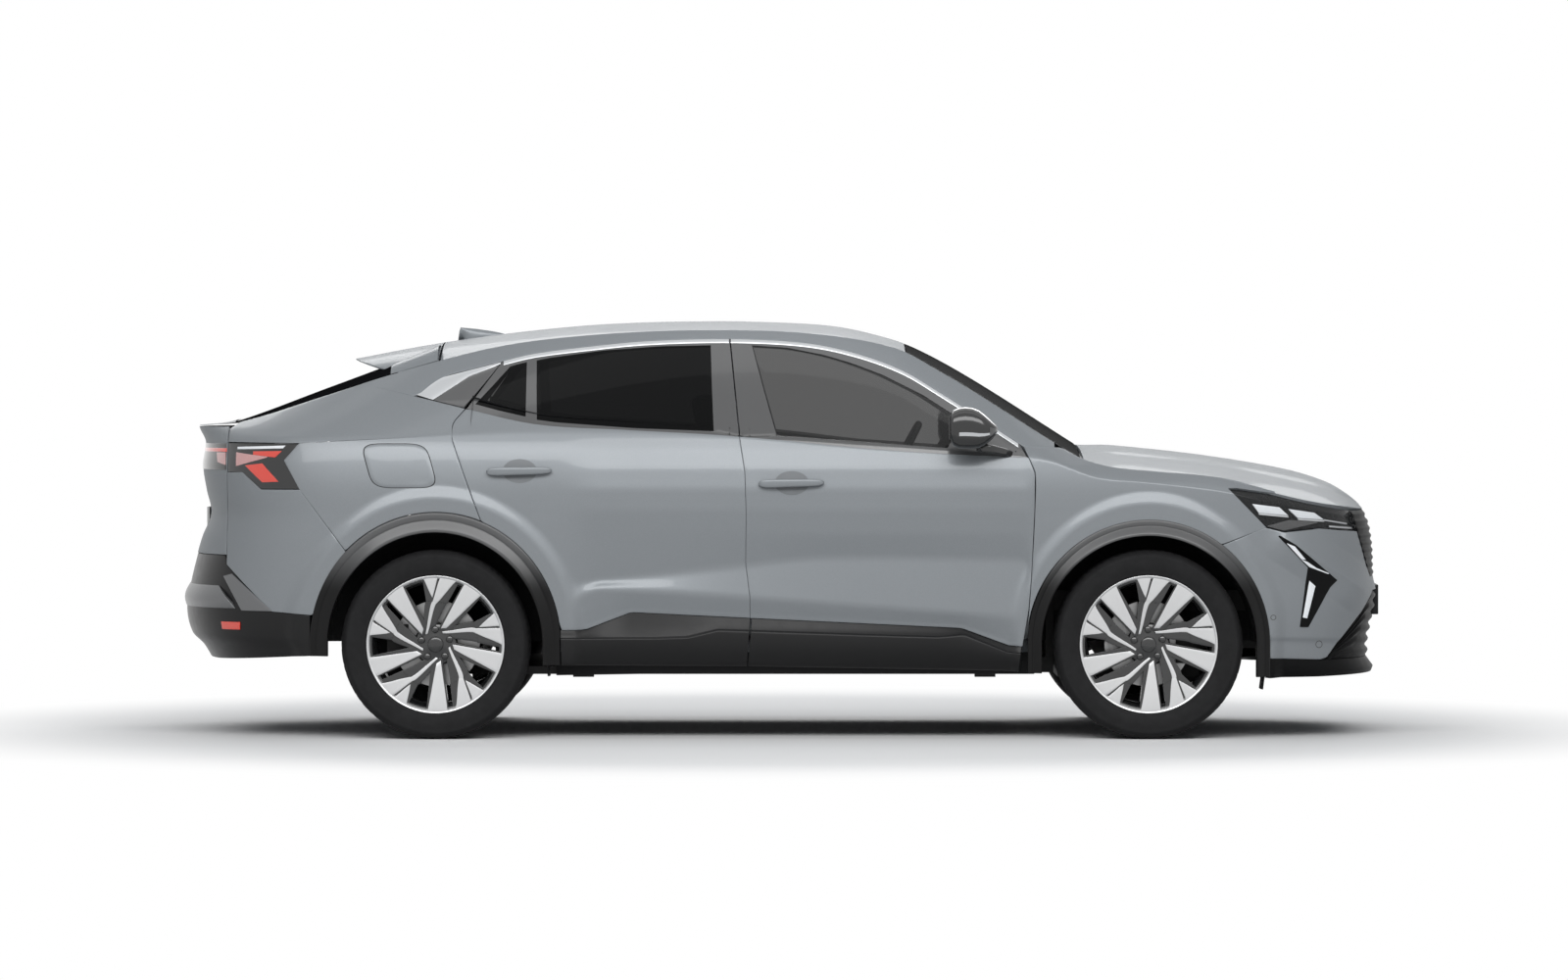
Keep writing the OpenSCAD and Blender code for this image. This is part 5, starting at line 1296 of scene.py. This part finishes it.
def tyre_section():
    """A tyre's section from bead to bead: bulged walls, rounded shoulders and a nearly flat tread."""
    wall = [(262, 95), (266.8, 99), (267.2, 108), (270, 112.5), (274, 112.5), (282, 116), (300, 121),
            (320, 122.5), (334, 121), (338, 121.8), (342, 120.0), (350, 114), (357, 105), (361, 95)]
    half = [86, 76, 67.5, 64.5, 59.5, 56.5, 42, 26.5, 23.5, 18.5, 15.5]
    flat = [(364 - 0.0003 * y * y, y) for y in half + [0] + [-y for y in half[::-1]]]
    return wall + flat + [(r, -y) for r, y in wall[::-1]]


tyre_rubber = finish(
    "tyre_rubber", (0.014, 0.014, 0.0145), 0.72, 0.0, {"Specular IOR Level": 0.2}, lambda place: {
        "Base Color": blend(noise(place, 14.0, 4.0), (0.01, 0.01, 0.0105), (0.02, 0.02, 0.021)),
        "Roughness": 0.62 + 0.2 * noise(place, 40.0),
        "Normal": bump(noise(place, 500.0), 0.2, 0.0005)})
alloy = finish("machined_alloy", (0.62, 0.625, 0.63), 0.3, 1.0, varying=wander(0.28, 0.08, 120.0))
rim_black = finish("rim_gloss_black", (0.014, 0.0145, 0.015), 0.18, 0.0,
                   {"Coat Weight": 0.7, "Coat Roughness": 0.05}, wander(0.16, 0.08, 20.0))
steel = finish("disc_steel", (0.42, 0.42, 0.42), 0.38, 1.0, varying=wander(0.28, 0.2, 90.0))
dress(steel, "disc_steel", *[f"disc_{e}_{s}" for e in ("front", "rear") for s in ("left", "right")])


def face_y(r):
    """How far out the spokes' machined face stands at a radius: a shallow dish."""
    return 103 - 20 * (1 - np.clip(r / 256, 0, 1)) ** 1.3


def plate(inner, outer, lift, deep, rows=12, cols=7):
    """A spoke's face with straight sides, from an inner edge to an outer edge, each given by its two ends in
    the wheel's plane. The outer edge bends round the rim, the face follows the dish, lifted, and its edges
    run down to that depth."""
    t, s = np.linspace(0, 1, rows)[:, None, None], np.linspace(0, 1, cols)[None, :, None]
    ends = [np.asarray(e, float) for e in (*inner, *outer)]
    P = (1 - t) * ((1 - s) * ends[0] + s * ends[1]) + t * ((1 - s) * ends[2] + s * ends[3])
    r = np.linalg.norm(P, axis=-1, keepdims=True)
    reach = (1 - s) * np.linalg.norm(ends[2]) + s * np.linalg.norm(ends[3])
    P = P * (1 + (reach / r - 1) * t**3)
    P = np.stack([P[..., 0], face_y(np.linalg.norm(P, axis=-1)) + lift, P[..., 1]], -1)
    return folded(P[:, ::-1], "btrf", deep, 1.2)


def five(grid):
    """A grid repeated five times about the axle."""
    turns = [(math.cos(a), math.sin(a)) for a in np.radians(np.arange(5) * 72)]
    x, y, z = np.moveaxis(grid, -1, 0)
    return [np.stack([c * x - s * z, y, s * x + c * z], -1) for c, s in turns]


# Each fifth of the wheel has a wide blade and a forked one, whose thin arm starts beside the next wide blade.
wide_face = plate([(3.8, -74.7), (19.0, -63.3)], [(-31.1, -257), (44.7, -255)], 0, 3)
arm_face = plate([(49.3, -14.0), (54.2, -10.2)], [(89.8, -131.5), (105.0, -127.7)], -1, 3, 12, 5)
fork_left = plate([(89.8, -131.5), (105.0, -127.7)], [(73.3, -249.6), (134.0, -222.3)], -1, 3)
fork_right = plate([(116.4, -139.1), (120.0, -141.0)], [(143.5, -216.2), (189.5, -178.1)], -1, 3)
wide_body = plate([(-14, -60), (25, -52)], [(-34, -257), (48, -255)], -7, 34)
arm_body = plate([(41.7, -48.1), (70.1, -17.8)], [(56.9, -152.4), (125.1, -112.6)], -8, 34)
fork_body = plate([(56.9, -152.4), (125.1, -112.6)], [(66.0, -252), (192, -179)], -8, 34)
lip_profile = [(252, 98), (255, 101.5), (259, 105), (262, 106.5), (264.5, 106.5), (266, 105), (266, 98)]
barrel_profile = [(231, -106), (262, -106), (266, -108.4), (266, -103), (255, -102), (252, -90), (236, -60),
                  (232, 40), (240, 84), (250, 94), (265, 97), (265, 98.5), (252, 98.2), (246, 95), (238, 84),
                  (229, 40), (231, -106)]
spoke_faces = five(wide_face) + five(arm_face) + five(fork_left) + five(fork_right)
spoke_bodies = five(wide_body) + five(arm_body) + five(fork_body)
cap_profile = [(30, 76), (30, 91), (28, 94), (24, 96), (14, 98), (0.01, 98.6)]
hub_profile = [(84, 60), (82, 72), (74, 77), (62, 79), (50, 80), (40, 82), (30, 84)]
bolt_profile = [(13, 70), (13, 87), (10, 90), (0.01, 90.5)]
HALF_TRACK, BOLT_CIRCLE = 800.0, 57
for x, end in ((FRONT, "front"), (REAR, "rear")):
    for side, name in SIDES:
        at = np.array([x, HALF_TRACK, WHEEL_Z])
        body = f"wheel_{end}_{name}"
        piece(f"{end}_tyre_{name}", [turned(tyre_section(), 240, tread)[:, ::-1] + at],
              tyre_rubber, body, (f"tyre_{end}_{name}",), side)
        piece(f"{end}_rim_barrel_{name}", [turned(barrel_profile, 240) + at],
              rim_black, body, (f"rim_{end}_{name}",), side)
        faces = [turned(lip_profile, 240)[:, ::-1]] + spoke_faces
        piece(f"{end}_spoke_faces_{name}", [g + at for g in faces], alloy, body, (), side)
        bolts = [turned(bolt_profile, 24) + [BOLT_CIRCLE * math.cos(b), 0, BOLT_CIRCLE * math.sin(b)]
                 for b in np.radians(np.arange(5) * 72 - 52)]
        dark = spoke_bodies + [turned(hub_profile, 80), turned(cap_profile, 60)] + bolts
        piece(f"{end}_spoke_bodies_{name}", [g + at for g in dark], rim_black, body, (), side)

# Cabin: moulded dashboard and steering wheel in soft black plastic, and padded fabric seats with stitched
# channels on the floor.

dress(cabin_black, "cabin_plastic", "dashboard", "steering_wheel")


def cloth(place):
    """A plain weave of two crossed waves."""
    warp = place.node("ShaderNodeTexWave", {"bands_direction": "Y"}, {"Vector": place, "Scale": 260.0})
    weft = place.node("ShaderNodeTexWave", {"bands_direction": "Z"}, {"Vector": place, "Scale": 260.0})
    weave = warp.node("ShaderNodeRGBToBW", {}, {0: warp}) * weft.node("ShaderNodeRGBToBW", {}, {0: weft})
    return {"Base Color": blend(weave, (0.035, 0.036, 0.039), (0.075, 0.076, 0.08)),
            "Normal": bump(weave, 0.4, 0.0008)}


fabric = finish("seat_fabric", (0.05, 0.05, 0.055), 0.9, 0.0, {"Sheen Weight": 0.2}, cloth)


def cushion(start, end, across_half, thick, channels, n=44):
    """A pad laid from start to end: a superellipse section across the car, its top crowned, pulled in at the
    ends and along sewn channels."""
    start, end = np.asarray(start, float), np.asarray(end, float)
    t = np.linspace(0, 1, n)
    path = start + (end - start) * t[:, None]
    pull = np.power(np.clip(1 - np.abs(2 * t - 1) ** 6, 0.02, 1), 0.35)
    seam = 1 - 0.05 * sum(np.exp(-(((t - c) / 0.012) ** 2)) for c in channels)
    return box_run(path, np.stack([across_half * pull, thick * pull * seam], 1), 40, 3.4)


seat_pads = []
for place_y, half, label in ((360, 232, "driver"), (-360, 232, "passenger")):
    base = cushion((-70, place_y, 520), (390, place_y, 575), half, 62, (0.3, 0.5, 0.7))
    back = cushion((-95, place_y, 620), (-262, place_y, 1130), half - 12, 56, (0.25, 0.45, 0.65))
    head = cushion((-290, place_y, 1165), (-330, place_y, 1320), 130, 42, ())
    seat_pads.append((f"{label}_seat", [base, back, head]))
bench = [cushion((-890, 0, 520), (-440, 0, 575), 590, 62, (0.3, 0.6)),
         cushion((-935, 0, 620), (-1100, 0, 1120), 585, 56, (0.3, 0.55))]
bench += [cushion((-1118, y, 1135), (-1150, y, 1240), 120, 38, ()) for y in (-380, 0, 380)]
seat_pads.append(("rear_bench", bench))
for k, (name, grids) in enumerate(seat_pads):
    pad = piece(name, grids, fabric, "body", ("seats",) if k == 0 else ())

# Studio: a plain white floor that fades into a white background, soft lamps above and beside the car, and
# the camera square to the right side at a long focal length.


def seen_rays(tree):
    """1 for a ray from the camera, off gloss or through glass, and 0 for the rays that only light."""
    kinds = ("Camera", "Glossy", "Transmission")
    rays = [Shade(tree).node("ShaderNodeLightPath", {}, {}, f"Is {kind} Ray") for kind in kinds]
    return rays[0] + rays[1] + rays[2]


floor_mesh = bpy.data.meshes.new("studio_floor")
span = np.linspace(-60, 60, 3)
X, Y = np.meshgrid(span, span)
floor_points = np.stack([X, Y, 0 * X], -1).reshape(-1, 3)
k = np.arange(9).reshape(3, 3)
floor_faces = np.stack([k[:-1, :-1], k[:-1, 1:], k[1:, 1:], k[1:, :-1]], -1).reshape(-1, 4)
floor_mesh.from_pydata(floor_points.tolist(), [], floor_faces.tolist())
floor = bpy.data.objects.new("studio_floor", floor_mesh)
bpy.context.scene.collection.objects.link(floor)
floor_look = bpy.data.materials.new("studio_floor")
floor_look.use_nodes = True
tree = floor_look.node_tree
tree.nodes.clear()
place = Shade(tree).node("ShaderNodeTexCoord", {}, {}, "Object")
far = place.node("ShaderNodeVectorMath", {"operation": "LENGTH"}, {0: place}, "Value")
fade = place.node("ShaderNodeMapRange", {"interpolation_type": "SMOOTHSTEP"},
                  {"Value": far, "From Min": 2.5, "From Max": 3.8}, "Result")
seen = seen_rays(tree)
dim = place.node("ShaderNodeBsdfDiffuse", {}, {"Color": (0.7, 0.7, 0.7, 1)})
pale = place.node("ShaderNodeBsdfDiffuse", {}, {"Color": (1.0, 1.0, 1.0, 1)})
matte = place.node("ShaderNodeMixShader", {}, {0: seen, 1: dim, 2: pale})
white = place.node("ShaderNodeEmission", {}, {"Color": (1, 1, 1, 1), "Strength": 1.0})
mixed = place.node("ShaderNodeMixShader", {}, {0: fade * seen, 1: matte, 2: white})
output = tree.nodes.new("ShaderNodeOutputMaterial")
tree.links.new(mixed.socket, output.inputs["Surface"])
floor_mesh.materials.append(floor_look)

world = bpy.data.worlds.new("studio")
bpy.context.scene.world = world
world.use_nodes = True
tree = world.node_tree
tree.nodes.clear()
seen = seen_rays(tree)
soft = seen.node("ShaderNodeBackground", {}, {"Color": (0.9, 0.95, 1.0, 1), "Strength": 0.2})
white = seen.node("ShaderNodeBackground", {}, {"Color": (1, 1, 1, 1), "Strength": 1.0})
mixed = seen.node("ShaderNodeMixShader", {}, {0: seen, 1: soft, 2: white})
output = tree.nodes.new("ShaderNodeOutputWorld")
tree.links.new(mixed.socket, output.inputs["Surface"])

for name, place_at, turn, size, power in (
    ("roof_lamp_near", (0, -1.65, 6.0), (0, 0, 0), (9, 1), 20),
    ("roof_lamp_far", (0, 1.65, 6.0), (0, 0, 0), (9, 1), 20),
    ("near_lamp", (0, -7.4, 5.6), (math.radians(54), 0, 0), (12, 3), 510),
    ("far_lamp", (0, 7.4, 5.6), (math.radians(-54), 0, 0), (12, 3), 510)):
    lamp = bpy.data.lights.new(name, "AREA")
    lamp.shape, lamp.size, lamp.size_y, lamp.energy = "RECTANGLE", size[0], size[1], power
    holder = bpy.data.objects.new(name, lamp)
    holder.location, holder.rotation_euler = place_at, turn
    bpy.context.scene.collection.objects.link(holder)

lens = bpy.data.cameras.new("camera")
lens.sensor_width, lens.lens = 36.0, 155.7
lens.clip_end = 500
eye = bpy.data.objects.new("camera", lens)
eye.location = (0.0, -26.92, 1.35)
eye.rotation_euler = (math.radians(90 - 0.865), 0, 0)
bpy.context.scene.collection.objects.link(eye)
bpy.context.scene.camera = eye
bpy.context.scene.view_settings.view_transform = "Standard"
